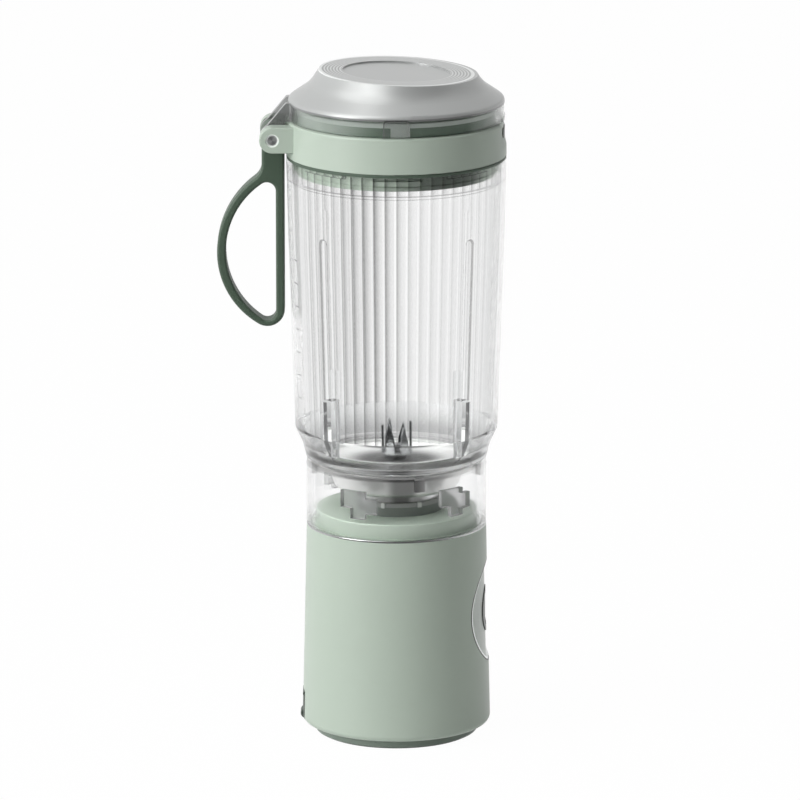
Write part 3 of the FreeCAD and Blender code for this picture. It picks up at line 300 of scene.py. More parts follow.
class Finish:
    """One procedural material: a Principled shader and the nodes that vary it."""

    def __init__(self, name):
        self.material = bpy.data.materials.new(name)
        self.material.use_nodes = True
        self.tree = self.material.node_tree
        self.tree.nodes.clear()
        self.shader = add_node(self.tree, "BsdfPrincipled")
        self.output = add_node(self.tree, "OutputMaterial", Surface=self.shader.outputs[0])

    def set(self, **inputs):
        """Constants and links on the Principled shader's own sockets."""
        fill(self.tree, self.shader, inputs)

    def cover(self, share, shader):
        """Covers the finish with another shader by a share that changes over the surface."""
        blend = add_node(self.tree, "MixShader", i0=share, i1=self.shader.outputs[0], i2=shader.outputs[0])
        fill(self.tree, self.output, {"Surface": blend.outputs[0]})

    def node(self, kind, settings=None, out=0, **inputs):
        """One output of a new node."""
        return Value(self.tree, add_node(self.tree, kind, settings, **inputs).outputs[out])

    def place(self):
        """The Object coordinates, as a vector."""
        return self.node("TexCoord", out="Object")

    def axes(self):
        """The Object coordinates, as three Values in metres."""
        split = add_node(self.tree, "SeparateXYZ", Vector=self.place())
        return [Value(self.tree, socket) for socket in split.outputs]

    def noise(self, scale, detail=2.0, roughness=0.5, stretch=None):
        """Noise from 0 to 1, with about this many features to the metre."""
        where = self.place()
        if stretch:
            where = self.node("Mapping", Vector=where, Scale=stretch)
        return self.node("TexNoise", Vector=where, Scale=scale, Detail=detail, Roughness=roughness)

    def mix(self, share, one, two):
        """A colour between two, by a Value."""
        return self.node("Mix", {"data_type": "RGBA"}, out=2, i0=share, i6=one, i7=two)

    def bump(self, height, strength, distance):
        return self.node("Bump", Height=height, Strength=strength, Distance=distance)

    def facing(self):
        """How far a surface turns from the eye, for gloss and glass."""
        return self.node("LayerWeight", out="Facing", Blend=0.5)


def length_of(across, up):
    """The length of a flat vector of two Values."""
    return (across * across + up * up) ** 0.5


def azimuth_of(x, y):
    """Degrees from -Y towards +X."""
    return x.math("ARCTAN2", 0.0 - y) * DEGREES


def linear(colour):
    """An sRGB colour as 0-255 numbers, as the linear RGBA that sockets hold."""
    c = np.asarray(colour, float) / 255
    c = np.where(c <= 0.04045, c / 12.92, ((c + 0.055) / 1.055) ** 2.4)
    return (*[float(x) for x in c], 1.0)


def scaled(colour, share=1.0):
    """A colour times a share, opaque."""
    return (*[c * share for c in colour[:3]], 1.0)


# ---------------------------------------------------------------- surfaces
def arc_profile(corners, step):
    """Points along a closed chain of (r, z, corner radius), each corner a circular arc.

    A corner of radius R and half angle h starts R / tan(h) before the corner and turns about the point
    on its bisector; step is the arc's turn between points, in degrees.
    """
    points = []
    for i, (r, z, radius) in enumerate(corners):
        here = np.array((r, z))
        back = np.array(corners[i - 1][:2]) - here
        on = np.array(corners[(i + 1) % len(corners)][:2]) - here
        back = back / np.linalg.norm(back)
        on = on / np.linalg.norm(on)
        half = math.acos(float(np.clip(back @ on, -1, 1))) / 2
        if radius == 0:
            points.append(here[None])
            continue
        middle = (back + on) / np.linalg.norm(back + on)
        centre = here + middle * radius / math.sin(half)
        first = here + back * radius / math.tan(half) - centre
        last = here + on * radius / math.tan(half) - centre
        start = math.atan2(first[1], first[0])
        turn = math.atan2(first[0] * last[1] - first[1] * last[0], first @ last)
        angles = start + turn * np.linspace(0, 1, max(3, int(abs(math.degrees(turn)) / step) + 2))
        points.append(centre + radius * np.stack((np.cos(angles), np.sin(angles)), 1))
    return np.concatenate(points)


def grid_faces(rows, columns):
    """Quads between neighbours of a rows by columns grid that closes on itself both ways."""
    i, j = np.meshgrid(np.arange(rows), np.arange(columns), indexing="ij")
    i, j = i.ravel(), j.ravel()
    i2, j2 = (i + 1) % rows, (j + 1) % columns
    return np.stack((i * columns + j, i * columns + j2, i2 * columns + j2, i2 * columns + j), 1)


def mesh_object(name, vertices, faces):
    """A smooth mesh object from arrays of points and quads, in metres."""
    mesh = bpy.data.meshes.new(name)
    mesh.vertices.add(len(vertices))
    mesh.vertices.foreach_set("co", np.ascontiguousarray(vertices, np.float32).ravel())
    sides = faces.shape[1]
    mesh.loops.add(faces.size)
    mesh.loops.foreach_set("vertex_index", np.ascontiguousarray(faces, np.int32).ravel())
    mesh.polygons.add(len(faces))
    mesh.polygons.foreach_set("loop_start", np.arange(0, faces.size, sides, dtype=np.int32))
    mesh.polygons.foreach_set("loop_total", np.full(len(faces), sides, np.int32))
    mesh.update(calc_edges=True)
    mesh.validate()
    mesh.polygons.foreach_set("use_smooth", np.full(len(mesh.polygons), True))
    piece = bpy.data.objects.new(name, mesh)
    bpy.context.scene.collection.objects.link(piece)
    return piece


def lathe(name, profile, azimuth, shape):
    """A closed profile of (r, z) millimetres swept about Z through a list of azimuths in degrees.

    shape(r, z, azimuth) gives new radii for the whole grid, for flutes, ribs and other forms that
    change round the axis. The profile runs so that its outside is on the right hand going up.
    """
    r, a = np.meshgrid(profile[:, 0], azimuth, indexing="ij")
    z = np.repeat(profile[:, 1:2], len(azimuth), 1)
    r = shape(r, z, a)
    a = np.radians(a)
    grid = np.stack((r * np.sin(a), -r * np.cos(a), z), -1).reshape(-1, 3)
    return mesh_object(name, grid * MM, grid_faces(len(profile), len(azimuth)))


def with_rows(profile, heights):
    """The profile with a point added wherever one of its steep straight runs crosses a height."""
    points = []
    for start, end in zip(profile, np.roll(profile, -1, 0)):
        points.append(start)
        low, high = sorted((start[1], end[1]))
        if high - low < SHORT_RUN:
            continue
        crossed = [h for h in heights if low + ROW_CLEARANCE < h < high - ROW_CLEARANCE]
        for h in sorted(crossed, reverse=bool(end[1] < start[1])):
            points.append(start + (end - start) * (h - start[1]) / (end[1] - start[1]))
    return np.array(points)


def around(azimuth, centre):
    """Degrees from a centre azimuth, between -180 and 180."""
    return (azimuth - centre + 180) % 360 - 180


def box_step(azimuth, z, centre, low_azimuth, high_azimuth, low, high):
    """True inside a patch of azimuth and height."""
    turn = around(azimuth, centre)
    return (turn > low_azimuth) & (turn < high_azimuth) & (z > low) & (z < high)


def finished(piece, finish, body, slot, *replaced):
    """Gives a piece its material and its body, and hides the solids it stands for; its slot is not used."""
    piece.data.materials.append(finish)
    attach(piece, body)
    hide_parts(*replaced)


def dress(finish, *nodes):
    """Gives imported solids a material."""
    for name in nodes:
        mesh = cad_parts[name].data
        mesh.materials.clear()
        mesh.materials.append(finish)


# ---------------------------------------------------------------- sizes and colours
def length(name, default, about):
    return bpy.props.FloatProperty(name=name, description=about, default=default, min=0.0,
                                   subtype="DISTANCE", unit="LENGTH", precision=5)


def tint(name, default, about):
    return bpy.props.FloatVectorProperty(name=name, description=about, default=linear(default)[:3], size=3,
                                         min=0.0, max=1.0, subtype="COLOR")


class ShellLooks(bpy.types.PropertyGroup):
    """The opaque plastics."""

    sage: tint("Sage", (178, 191, 178), "Colour of the base, the neck and the lid's collar")
    cover: tint("Foot cover", (128, 141, 130), "Colour of the cover under the base")
    tower: tint("Tower", (116, 122, 117), "Colour of the motor tower's drum")
    tower_band: tint("Tower band", (150, 152, 150), "Colour of the band round the drum's top")
    dish: tint("Dish", (244, 244, 243), "Colour of the dish that floors the jar")
    panel: tint("Panel", (204, 212, 205), "Colour of the round power panel")
    button: tint("Button", (82, 88, 83), "Colour of the power button")


class SoftLooks(bpy.types.PropertyGroup):
    """The seals, the loop and the rubber cover."""

    seal: tint("Seal", (74, 92, 77), "Colour of the seals")
    sleeve: tint("Sleeve", (96, 112, 98), "Colour of the sleeve on the lid's neck")
    clear_seal: tint("Dish seal", (205, 207, 205), "Colour of the dish's seals")
    # The sleeve's edge colour is also painted on its sides as painted light.
    sleeve_top: tint("Sleeve edge", (176, 184, 177), "Colour of the sleeve's upper edge")
    loop: tint("Loop", (70, 88, 72), "Colour of the carry loop")
    cover: tint("Port cover", (58, 68, 59), "Colour of the charging port's cover")


class ClearLooks(bpy.types.PropertyGroup):
    """The clear parts."""

    jar: tint("Jar", (250, 251, 251), "Tint of the jar")
    cap: tint("Cap", (226, 228, 227), "Tint of the flip cap's band and hinge arms")
    dome: tint("Dome", (180, 182, 181), "Colour of the flip cap's smoky dome")
    flute_depth: length("Flute depth", 0.00012, "How deep the jar's inner flutes are")


# ---------------------------------------------------------------- finishes
def moulded(name, colour, roughness, pin_glint=False, panel_line=False, painted_light_above=None):
    """Moulded plastic: a fine spark-eroded grain, slow drifts of tone and of gloss.

    A pin glint is a painted highlight ring round the hinge pin's hole, and a panel line the shadow round
    the power panel's trim. Above a height the tone is painted paler: painted light on the neck's top.
    """
    f = Finish(name)
    tone = f.mix(f.noise(22.0), scaled(colour, 0.985), scaled(colour, 1.015))
    if painted_light_above:
        # Painted light: the tone is paler above a height, on the neck's top.
        tone = f.mix(f.axes()[2] > painted_light_above, tone, scaled(colour, 1.35))
    if panel_line:
        x, y, z = f.axes()
        line = length_of(y, z - PANEL_HEIGHT).near(PANEL_EDGE, PANEL_LINE_HALF) * (x > 0.0)
        tone = f.mix(line, tone, scaled(colour, 0.2))
    if pin_glint:
        # Painted highlight: a pale ring round the hinge pin's hole, where its bevel catches the light.
        x, _, z = f.axes()
        ring = length_of(x - PIN_X, z - PIN_Z).near(PIN_GLINT_RADIUS, PIN_GLINT_HALF)
        tone = f.mix(ring, tone, PIN_GLINT_TONE)
    f.set(Base_Color=tone,
          Roughness=f.noise(160.0, detail=3.0) * 0.06 + (roughness - 0.03),
          Normal=f.bump(f.noise(5200.0), strength=0.12, distance=0.00002))
    return f.material


def plug_shaded_plastic(colour):
    """Moulded plastic with painted light and shade: pale on the hinge side, darkening to the front right,
    and pale again at its far edge.
    """
    f = Finish("plug_shaded_plastic")
    x = f.axes()[0]
    # Painted light and shade: paler on the hinge side, darker towards the front right, paler again far
    # right.
    dark = x.ramp(*PLUG_DARKENS) - x.ramp(*PLUG_PALES)
    f.set(Base_Color=f.mix(dark, scaled(colour, 1.35), scaled(colour, 0.32)),
          Roughness=f.noise(160.0, detail=3.0) * 0.06 + 0.33)
    return f.material


def silicone(name, colour, roughness=0.55):
    """Silicone rubber: matt, with a slight bloom and dust-fine mottling."""
    f = Finish(name)
    mottle = f.noise(900.0, detail=4.0, roughness=0.6)
    f.set(Base_Color=f.mix(mottle, scaled(colour, 0.94), scaled(colour, 1.06)),
          Roughness=f.noise(240.0) * 0.1 + (roughness - 0.05),
          Normal=f.bump(f.noise(3800.0), strength=0.1, distance=0.00003),
          Sheen_Weight=0.15,
          Sheen_Roughness=0.5)
    return f.material


def banded(name, low_colour, high_colour, edge, patch=None):
    """Plain plastic or rubber in two tones that meet at a height.

    A patch of x on the front has the higher tone too, and then the lower tone is also painted paler to both
    sides, painted light and reflection as light falls behind the cap's band.
    """
    f = Finish(name)
    x, y, z = f.axes()
    share = z > edge
    if patch:
        # Painted light and reflection: the lower tone pales to the sleeve's left and right.
        sides = (1.0 - x.ramp(*SLEEVE_LEFT)) * 0.7 + x.ramp(*SLEEVE_RIGHT) * 0.6
        share = (share + x.between(*patch) * (y < 0.0) + sides).clipped()
    f.set(Base_Color=f.mix(share, scaled(low_colour), scaled(high_colour)),
          Roughness=f.noise(240.0) * 0.08 + 0.4)
    return f.material


def dish_steel(colour):
    """The dish: its satin floor darkens towards the blade's seat, and its cup has a painted dark reflection
    in front.
    """
    f = Finish("dish_steel")
    x, y, z = f.axes()
    floor = f.mix(length_of(x, y).ramp(*DISH_PALES), scaled(colour, 0.12), scaled(colour))
    azimuth = azimuth_of(x, y)
    # Painted reflection: a dark stretch on the cup's front between lighter sides.
    shade = azimuth.ramp(*CUP_DARKENS) * (1.0 - azimuth.ramp(*CUP_PALES))
    side = f.mix(shade, scaled(colour, 0.88), scaled(colour, 0.36))
    cup = z < CUP_TOP
    f.set(Base_Color=f.mix(cup, floor, side),
          Metallic=cup * 0.3 + 0.5,
          Roughness=f.noise(300.0, stretch=(1.0, 1.0, 4.0)) * 0.06 + 0.26)
    return f.material


def steel(name, colour, roughness):
    """Machined or polished metal, with fine mottled tool marks."""
    f = Finish(name)
    marks = f.noise(900.0)
    f.set(Base_Color=f.mix(marks, scaled(colour, 0.94), scaled(colour)),
          Metallic=1.0,
          Roughness=marks * 0.08 + (roughness - 0.04),
          Normal=f.bump(marks, strength=0.06, distance=0.00002))
    return f.material


def pin_steel(colour):
    """A turned steel end face: a painted highlight on its bevelled rim round fans of painted darker and
    lighter reflection, as its tool marks throw the light.
    """
    f = Finish("pin_steel")
    x, _, z = f.axes()
    across, up = x - PIN_X, z - PIN_Z
    # Painted reflection: two dark and two light fans round the pin's axis.
    reflection_fan = (up.math("ARCTAN2", across) * 2.0 + 0.6).math("SINE") * 0.5 + 0.5
    face = f.mix(reflection_fan, scaled(colour, 0.4), scaled(colour, 0.85))
    # Painted highlight on the bevelled rim.
    f.set(Base_Color=f.mix(length_of(across, up) > PIN_BEVEL, face, scaled(colour, 1.3)),
          Metallic=0.6,
          Roughness=f.noise(2600.0) * 0.1 + 0.2)
    return f.material


def straight_through(f, colour, thin, more=0.0):
    """Clear plastic seen straight through: its colour and its density grow where it is edge on.

    The density runs from thin to 0.9 with the cube of how far the surface turns from the eye, and the
    colour halves with the square. More is added to the density where a part is thicker.
    """
    edge = f.facing()
    f.set(Base_Color=f.mix(edge * edge, scaled(colour), scaled(colour, 0.5)),
          Alpha=(edge ** 3.0 * (0.9 - thin) + thin + more).clipped(),
          Transmission_Weight=1.0,
          IOR=1.05,
          Roughness=0.02)


def veiled(f, share):
    """Blends a finish with a grey see-through layer by a share that changes over the surface."""
    f.cover(share.clipped(), add_node(f.tree, "BsdfTransparent", Color=(0.2, 0.2, 0.2, 1.0)))


def clear_plastic(name, colour, thin, gloss):
    """Clear moulded plastic under a gloss coat, with plain graduation strokes and veils on its outside.

    A thin ring runs round it under the mouth, and a veil over the seat, weaker towards the front right.
    """
    f = Finish(name)
    straight_through(f, colour, thin)
    f.set(Coat_Weight=gloss, Coat_Roughness=0.03)
    x, y, z = f.axes()
    azimuth = azimuth_of(x, y)
    stroke = ((z / STROKE_PITCH).math("FRACT") < 0.05) * z.between(*STROKE_HEIGHTS)
    stroke = stroke * azimuth.between(*STROKE_AZIMUTHS) * 0.7
    ring = z.near(OUTER_RING, OUTER_RING_HALF) * 0.35
    seat = z.between(*SEAT_HEIGHTS) * (0.3 - azimuth.ramp(*SEAT_THINS) * 0.2)
    veiled(f, stroke + ring + seat)
    return f.material


def flute_shaded_plastic(colour):
    """The jar's inner wall, its flutes painted with shade, each darker at one edge.

    At a share t across a flute the painted shade is A 0.03^t, and 0.05 more but for the last fifth; it
    stands for the light the flutes bend and reflect, and A is larger on the hinge side and smaller at the
    far left, as the light falls. Two thin rings run round the wall under its mouth. A front rib is outlined
    in painted
    shade: an arch where the distance to its top's centre is near its half width, and a line down its outer
    side.
    """
    f = Finish("flute_shaded_plastic")
    straight_through(f, colour, thin=0.14)
    x, y, z = f.axes()
    azimuth = x.math("ARCTAN2", y.absolute()) * DEGREES
    share = (azimuth / FLUTE_PITCH).math("FRACT")
    top = z > OUTER_RING
    fluted = z.between(*FLUTE_HEIGHTS) * (azimuth.ramp(*FLUTES_BEGIN) + top).clipped()
    # Painted shade and reflection: each flute darkens towards one edge, more on the hinge side and near the
    # mouth, less at the far left.
    stronger_shade, weaker_shade = 1.0 - azimuth.ramp(*HINGE_HALF), 1.0 - azimuth.ramp(*FAR_LEFT)
    strength = 0.2 + 0.55 * stronger_shade - 0.3 * weaker_shade + top * 0.3
    flutes = (strength * 0.03 ** share + (share < 0.8) * 0.05) * fluted
    rings = sum(z.near(height, INNER_RING_HALF) * 0.3 for height in INNER_RINGS)
    side = (azimuth.absolute() - RIBS[0]) * (RIB_LINE_RADIUS / DEGREES)
    rise = z - (RIB_TOP - RIB_HALF) * MM
    # Painted shade: a dark outline on each front rib, where its edges bend the light.
    arch = length_of(side, rise).near(RIB_LINE, RIB_ARCH_HALF) * (rise > 0.0)
    line = side.near(RIB_LINE, RIB_LINE_HALF) * (rise < 0.0)
    rib = (arch + line) * (y < 0.0) * (z > RIB_LINE_FOOT) * 0.5
    veiled(f, flutes + rings + rib)
    return f.material


def shoulder_plastic(colour):
    """The jar's thick shoulder: greyer towards its foot, lightly frosted, with three soft painted dark
    spots.

    The spots are painted shade in place of the bent image of the dark drive and of the fins: one in front
    and one below each front fin.
    """
    f = Finish("shoulder_plastic")
    x, y, z = f.axes()
    azimuth = azimuth_of(x, y)
    # Painted shade: dark spots for the bent image of the drive and the fins.
    spots = azimuth.absolute().spot(SIDE_SPOTS, 2.0, 9.0) + azimuth.spot(FRONT_SPOT, 3.0, 12.0)
    spots = spots * z.ramp(*SPOTS_BEGIN) * (1.0 - z.ramp(*SPOTS_END))
    ground = f.mix(1.0 - z.ramp(*SHOULDER_CLEARS), scaled(colour, 0.92), scaled(colour, 0.52))
    f.set(Base_Color=f.mix(spots.clipped(), ground, scaled(colour, 0.3)),
          Transmission_Weight=1.0,
          IOR=1.2,
          Roughness=f.noise(40.0, detail=1.0) * 0.04 + 0.14,
          Coat_Weight=0.35,
          Coat_Roughness=0.35)
    return f.material


def thick_plastic(name, colour, shade, roughness, bend, clear=1.0):
    """Thick plastic, clear or partly milky, that bends what lies behind it."""
    f = Finish(name)
    f.set(Base_Color=scaled(colour, shade),
          Transmission_Weight=clear,
          IOR=bend,
          Roughness=f.noise(30.0, detail=1.0) * 0.01 + roughness)
    return f.material


def cap_plastic(band, dome):
    """The flip cap: a clear band and hinge arms under a smoky dome.

    The dome's grooves are painted as light and dark rings, a cosine of the radius between its sunk disc and
    its edge, painted highlight and shade; they are lighter than the disc and the cone, the outermost groove
    carries a painted highlight along the flat's edge, and a dark line marks where the cone meets the band.
    The band's front tab is a little smoky, with a line where the distance to its flat middle is near its
    corner radius.
    """
    f = Finish("cap_plastic")
    x, y, z = f.axes()
    radius = length_of(x, y)
    arms = x < HINGE_SIDE
    straight_through(f, band, thin=0.4, more=arms * 0.35)
    f.set(Coat_Weight=1.0, Coat_Roughness=0.1)
    grooved = radius.between(*GROOVES) * (z > GROOVE_LOW)
    # Painted highlight and shade: light and dark rings on the grooves.
    groove = ((radius * (2 * math.pi / GROOVE_PITCH)).math("COSINE") * 0.5 + 0.5) * grooved
    tone = f.mix((1.0 - grooved) * 0.4 + groove, scaled(dome, 0.6), scaled(dome, 1.6))
    # Painted highlight along the flat's edge, on the outermost groove.
    tone = f.mix(grooved * (radius > GROOVE_HIGHLIGHT), tone, scaled(dome, 1.95))
    tone = f.mix((z < DOME_LINE) * 0.5, tone, scaled(dome, 0.1))
    smoke = add_node(f.tree, "BsdfPrincipled",
                     Base_Color=tone,
                     Metallic=0.35,
                     Roughness=f.noise(55.0) * 0.08 + 0.34,
                     Coat_Weight=0.6,
                     Coat_Roughness=0.2,
                     Normal=f.bump(groove, strength=0.5, distance=0.0001))
    wide = (x.absolute() - TAB_HALF).math("MAXIMUM", 0.0)
    high = (z - TAB_HEIGHT).math("MAXIMUM", 0.0)
    away = length_of(wide, high) - TAB_CORNER
    tab = ((away < 0.0) * 0.12 + (away.absolute() < TAB_LINE_HALF) * 0.5) * (y < 0.0)
    f.cover(((z > DOME_FOOT) * (radius < DOME_EDGE) + arms * 0.45 + tab).clipped(), smoke)
    return f.material


class BuildShell(bpy.types.Operator):
    """Finish the base, its foot, its neck and the lid's collar"""

    bl_idname = "blender_looks.shell"
    bl_label = "Base and collar"

    def execute(self, context):
        c = context.scene.shell_looks
        dress(moulded("sage_plastic", c.sage, 0.36, panel_line=True), "base_shell")
        dress(plug_shaded_plastic(c.sage), "lid_plug", "plug_gasket")
        dress(moulded("neck_plastic", c.sage, 0.36, painted_light_above=NECK_TOP), "neck_boss")
        dress(moulded("collar_plastic", c.sage, 0.36, pin_glint=True), "lid_collar")
        dress(moulded("cover_plastic", c.cover, 0.4), "bottom_cover")
        dress(banded("tower_plastic", c.tower, c.tower_band, DRUM_BAND), "tower_drum")
        dress(moulded("dark_plastic", c.tower, 0.35), "motor_end_bell", "button_switch")
        dress(moulded("clip_plastic", linear((205, 208, 204)), 0.3), "tower_clips", "battery_cradle")
        dress(dish_steel(c.dish), "blade_dish")
        dress(moulded("panel_plastic", c.panel, 0.3), "button_panel")
        dress(moulded("button_plastic", c.button, 0.3), "power_button")
        dress(moulded("latch_plastic", linear((72, 82, 74)), 0.35), "latch_button")
        return {"FINISHED"}


class BuildSoft(bpy.types.Operator):
    """Finish the seals, the carry loop and the port cover"""

    bl_idname = "blender_looks.soft"
    bl_label = "Seals and loop"

    def execute(self, context):
        c = context.scene.soft_looks
        dress(silicone("seal_silicone", c.seal), "lid_seal", "cap_gasket")
        dress(silicone("clear_silicone", c.clear_seal, 0.4), "dish_seal", "shaft_seal")
        dress(banded("sleeve_silicone", c.sleeve, c.sleeve_top, SLEEVE_EDGE, SLEEVE_PATCH), "neck_sleeve")
        dress(silicone("loop_silicone", c.loop, 0.5), "carry_loop")
        dress(silicone("cover_rubber", c.cover), "usb_cover", "foot_pad")
        return {"FINISHED"}


class BuildMetal(bpy.types.Operator):
    """Finish the metal parts and the insides"""

    bl_idname = "blender_looks.metal"
    bl_label = "Metal and insides"

    def execute(self, context):
        dress(steel("seam_metal", linear((196, 198, 197)), 0.24), "seam_ring")
        dress(steel("trim_metal", linear((244, 246, 245)), 0.4), "panel_trim")
        dress(steel("plain_steel", linear((170, 172, 172)), 0.28), "bottom_screws", "tower_screws",
              "bracket_screws", "motor_can", "motor_bracket", "drive_shaft", "blade_hub", "blade_nut",
              "usb_socket")
        dress(pin_steel(linear((196, 198, 198))), "hinge_pin")
        dress(steel("blade_steel", linear((186, 188, 189)), 0.12), "blade_cross")
        dress(steel("bush_brass", linear((196, 164, 98)), 0.25), "shaft_bush")
        dress(steel("winding_copper", linear((186, 112, 70)), 0.35), "armature")
        dress(moulded("magnet_grey", linear((62, 62, 64)), 0.5), "motor_magnets")
        dress(moulded("cell_wrap", linear((70, 110, 148)), 0.3), "battery_cells")
        dress(moulded("board_green", linear((26, 84, 50)), 0.4), "control_board", "charge_board")
        return {"FINISHED"}


# ---------------------------------------------------------------- the jar
def jar_wall(z):
    """The radius of the plain inner wall at a height."""
    return np.interp(z, WALL_HEIGHTS, WALL_RADII)


def jar_shape(depth):
    """The jar's radii: flutes, ribs, fins, locking lugs and mouth stops on a plain swept wall.

    A flute is a shallow parabolic trough with a bowl-shaped top: its depth at u half-widths across and w
    half-widths above its straight part is depth (1 - u^2 - w^2). It ends square at the wall's lower
    bend. A rib is a low pad with a round top, and a fin a deep straight one. The lugs and stops are
    square patches.
    """

    def shape(r, z, a):
        inner = (r < jar_wall(z) + POINT_REACH) & (z > SKIRT_TOP)
        turn = (a - FLUTE_PHASE + FLUTE_PITCH / 2) % FLUTE_PITCH - FLUTE_PITCH / 2
        width = np.radians(FLUTE_PITCH / 2) * r
        across = np.radians(turn) * r / width
        past = np.maximum(z - FLUTE_HIGH, 0) / width
        flute = depth * np.clip(1 - across ** 2 - past ** 2, 0, 1) * (z > FLUTE_LOW)
        flute *= np.abs(around(a - turn, WINDOW[0])) > WINDOW[1]
        rib = np.zeros_like(r)
        fin = np.zeros_like(r, bool)
        for azimuth in RIBS:
            side = np.radians(np.abs(around(a, azimuth))) * np.maximum(r, RIB_RADIUS) / RIB_HALF
            rise = np.maximum(z - (RIB_TOP - RIB_HALF), 0) / RIB_HALF
            rib = np.maximum(rib, np.clip((1 - np.hypot(side, rise)) / RIB_SLOPE, 0, 1))
            fin |= (side < 1) & (z < FIN_TOP) & (z > FIN_LOW)
        wall = r + flute * (1 - rib) - RIB_PROUD * rib * (z > RIB_LOW)
        finned = np.minimum(wall, np.maximum(jar_wall(z) - FIN_PROUD, FIN_INNER))
        wall = np.where(fin, finned, wall)
        for azimuth in RIBS:
            patch = box_step(a, z, azimuth, -STOP_HALF, STOP_HALF, STOP_LOW, STOP_HIGH)
            wall = np.where(patch, wall - STOP_PROUD, wall)
        r = np.where(inner, wall, r)
        bore = r < BORE + POINT_REACH
        for azimuth in LUGS:
            for patch in LUG_PATCHES:
                r = np.where(bore & box_step(a, z, azimuth, *patch), BORE - LUG_PROUD, r)
        return r

    return shape


def jar_rows():
    """The heights at which the jar's wall needs points: plain ones, round tops and the edges of steps."""
    rows = list(PLAIN_ROWS)
    rows += np.arange(FLUTE_HIGH, FLUTE_HIGH + FLUTE_TOP_SPAN, FLUTE_TOP_ROW).tolist()
    rows += np.arange(RIB_TOP - RIB_HALF, RIB_TOP + RIB_TOP_ROW / 2, RIB_TOP_ROW).tolist()
    lug_ends = {z for patch in LUG_PATCHES for z in patch[2:]}
    for edge in (FLUTE_LOW, FIN_TOP, STOP_LOW, STOP_HIGH, *lug_ends):
        rows += [edge - SHARP_STEP, edge + SHARP_STEP]
    return sorted(rows)


def jar_azimuths():
    """The azimuths of the jar's columns: the flutes' own and a close pair at each edge of a step."""
    shares = [k - 0.5 + n / FLUTE_COLUMNS for k in range(FLUTES) for n in range(FLUTE_COLUMNS)]
    columns = [FLUTE_PHASE + FLUTE_PITCH * share for share in shares]
    rib = math.degrees(RIB_HALF / RIB_RADIUS)
    rib_top = rib * RIB_RADIUS / RIB_RADIUS_TOP
    halves = (STOP_HALF, rib, rib_top, rib_top * (1 - RIB_SLOPE))
    edges = [azimuth + side * half for azimuth in RIBS for side in (-1, 1) for half in halves]
    edges += [azimuth + edge for azimuth in LUGS for edge in LUG_EDGES]
    columns += [edge + side * SHARP_STEP for edge in edges for side in (-1, 1)]
    columns = np.unique(np.round(np.mod(columns, 360), 3))
    return columns[np.diff(columns, prepend=columns[-1] - 360) > COLUMN_CLEARANCE]


def jar_zones(mesh):
    """Gives each face its finish by place.

    0 outer wall, 1 shoulder, 2 front fins, 3 locking lugs, 4 skirt, 5 inner wall with its flutes and
    ribs, 6 back fins.
    """
    middle = np.empty(3 * len(mesh.polygons))
    mesh.polygons.foreach_get("center", middle)
    x, y, z = middle.reshape(-1, 3).T / MM
    radius = np.hypot(x, y)
    azimuth = np.degrees(np.arctan2(x, -y))
    zone = np.where(radius < jar_wall(z) + FACE_REACH, 5, 0).astype(np.int32)
    zone[(z > SKIRT_TOP) & (z < SHOULDER_TOP)] = 1
    for rib in RIBS:
        side = np.radians(np.abs(around(azimuth, rib))) * radius
        fin = (side < RIB_HALF + FACE_SLACK) & (z > FIN_LOW - FACE_SLACK) & (z < FIN_TOP + FACE_SLACK)
        zone[fin] = 6 if 90 < rib < 270 else 2
    zone[z < SKIRT_TOP] = 4
    zone[(z < LUG_TOP + FACE_SLACK) & (radius < BORE - FACE_SLACK)] = 3
    mesh.polygons.foreach_set("material_index", zone)


class BuildClear(bpy.types.Operator):
    """Make the clear jar and the flip cap's finish"""

    bl_idname = "blender_looks.clear"
    bl_label = "Jar and cap"

    def execute(self, context):
        c = context.scene.clear_looks
        profile = with_rows(arc_profile(JAR_CORNERS, ARC_STEP), jar_rows())
        jar = lathe("clear_jar", profile, jar_azimuths(), jar_shape(c.flute_depth / MM))
        jar.data.set_sharp_from_angle(angle=math.radians(SHARP_ANGLE))
        wall = clear_plastic("jar_plastic", c.jar, thin=0.2, gloss=1.0)
        finished(jar, wall, "jar", "jar_clear", "jar")
        for finish in (
            shoulder_plastic(c.jar),
            thick_plastic("rib_plastic", c.jar, shade=0.95, roughness=0.02, bend=1.3),
            thick_plastic("lug_plastic", c.jar, shade=0.5, roughness=0.2, bend=1.2, clear=0.62),
            clear_plastic("skirt_plastic", c.jar, thin=0.15, gloss=0.6),
            flute_shaded_plastic(c.jar),
            thick_plastic("back_rib_plastic", c.jar, shade=0.97, roughness=0.02, bend=1.1),
        ):
            jar.data.materials.append(finish)
        jar_zones(jar.data)
        dress(cap_plastic(c.cap, c.dome), "cap")
        return {"FINISHED"}


# ---------------------------------------------------------------- floor, lights and camera
def seen_by(tree):
    """Three shares of what sees a part of the studio: the camera, a clear part, and a reflection."""
    path = add_node(tree, "LightPath")
    camera = Value(tree, path.outputs["Is Camera Ray"])
    through = Value(tree, path.outputs["Is Transmission Ray"])
    mirrored = Value(tree, path.outputs["Glossy Depth"]) > 0.5
    glossy = Value(tree, path.outputs["Is Glossy Ray"]) * (1.0 - through) + mirrored
    return camera, through, glossy.clipped()


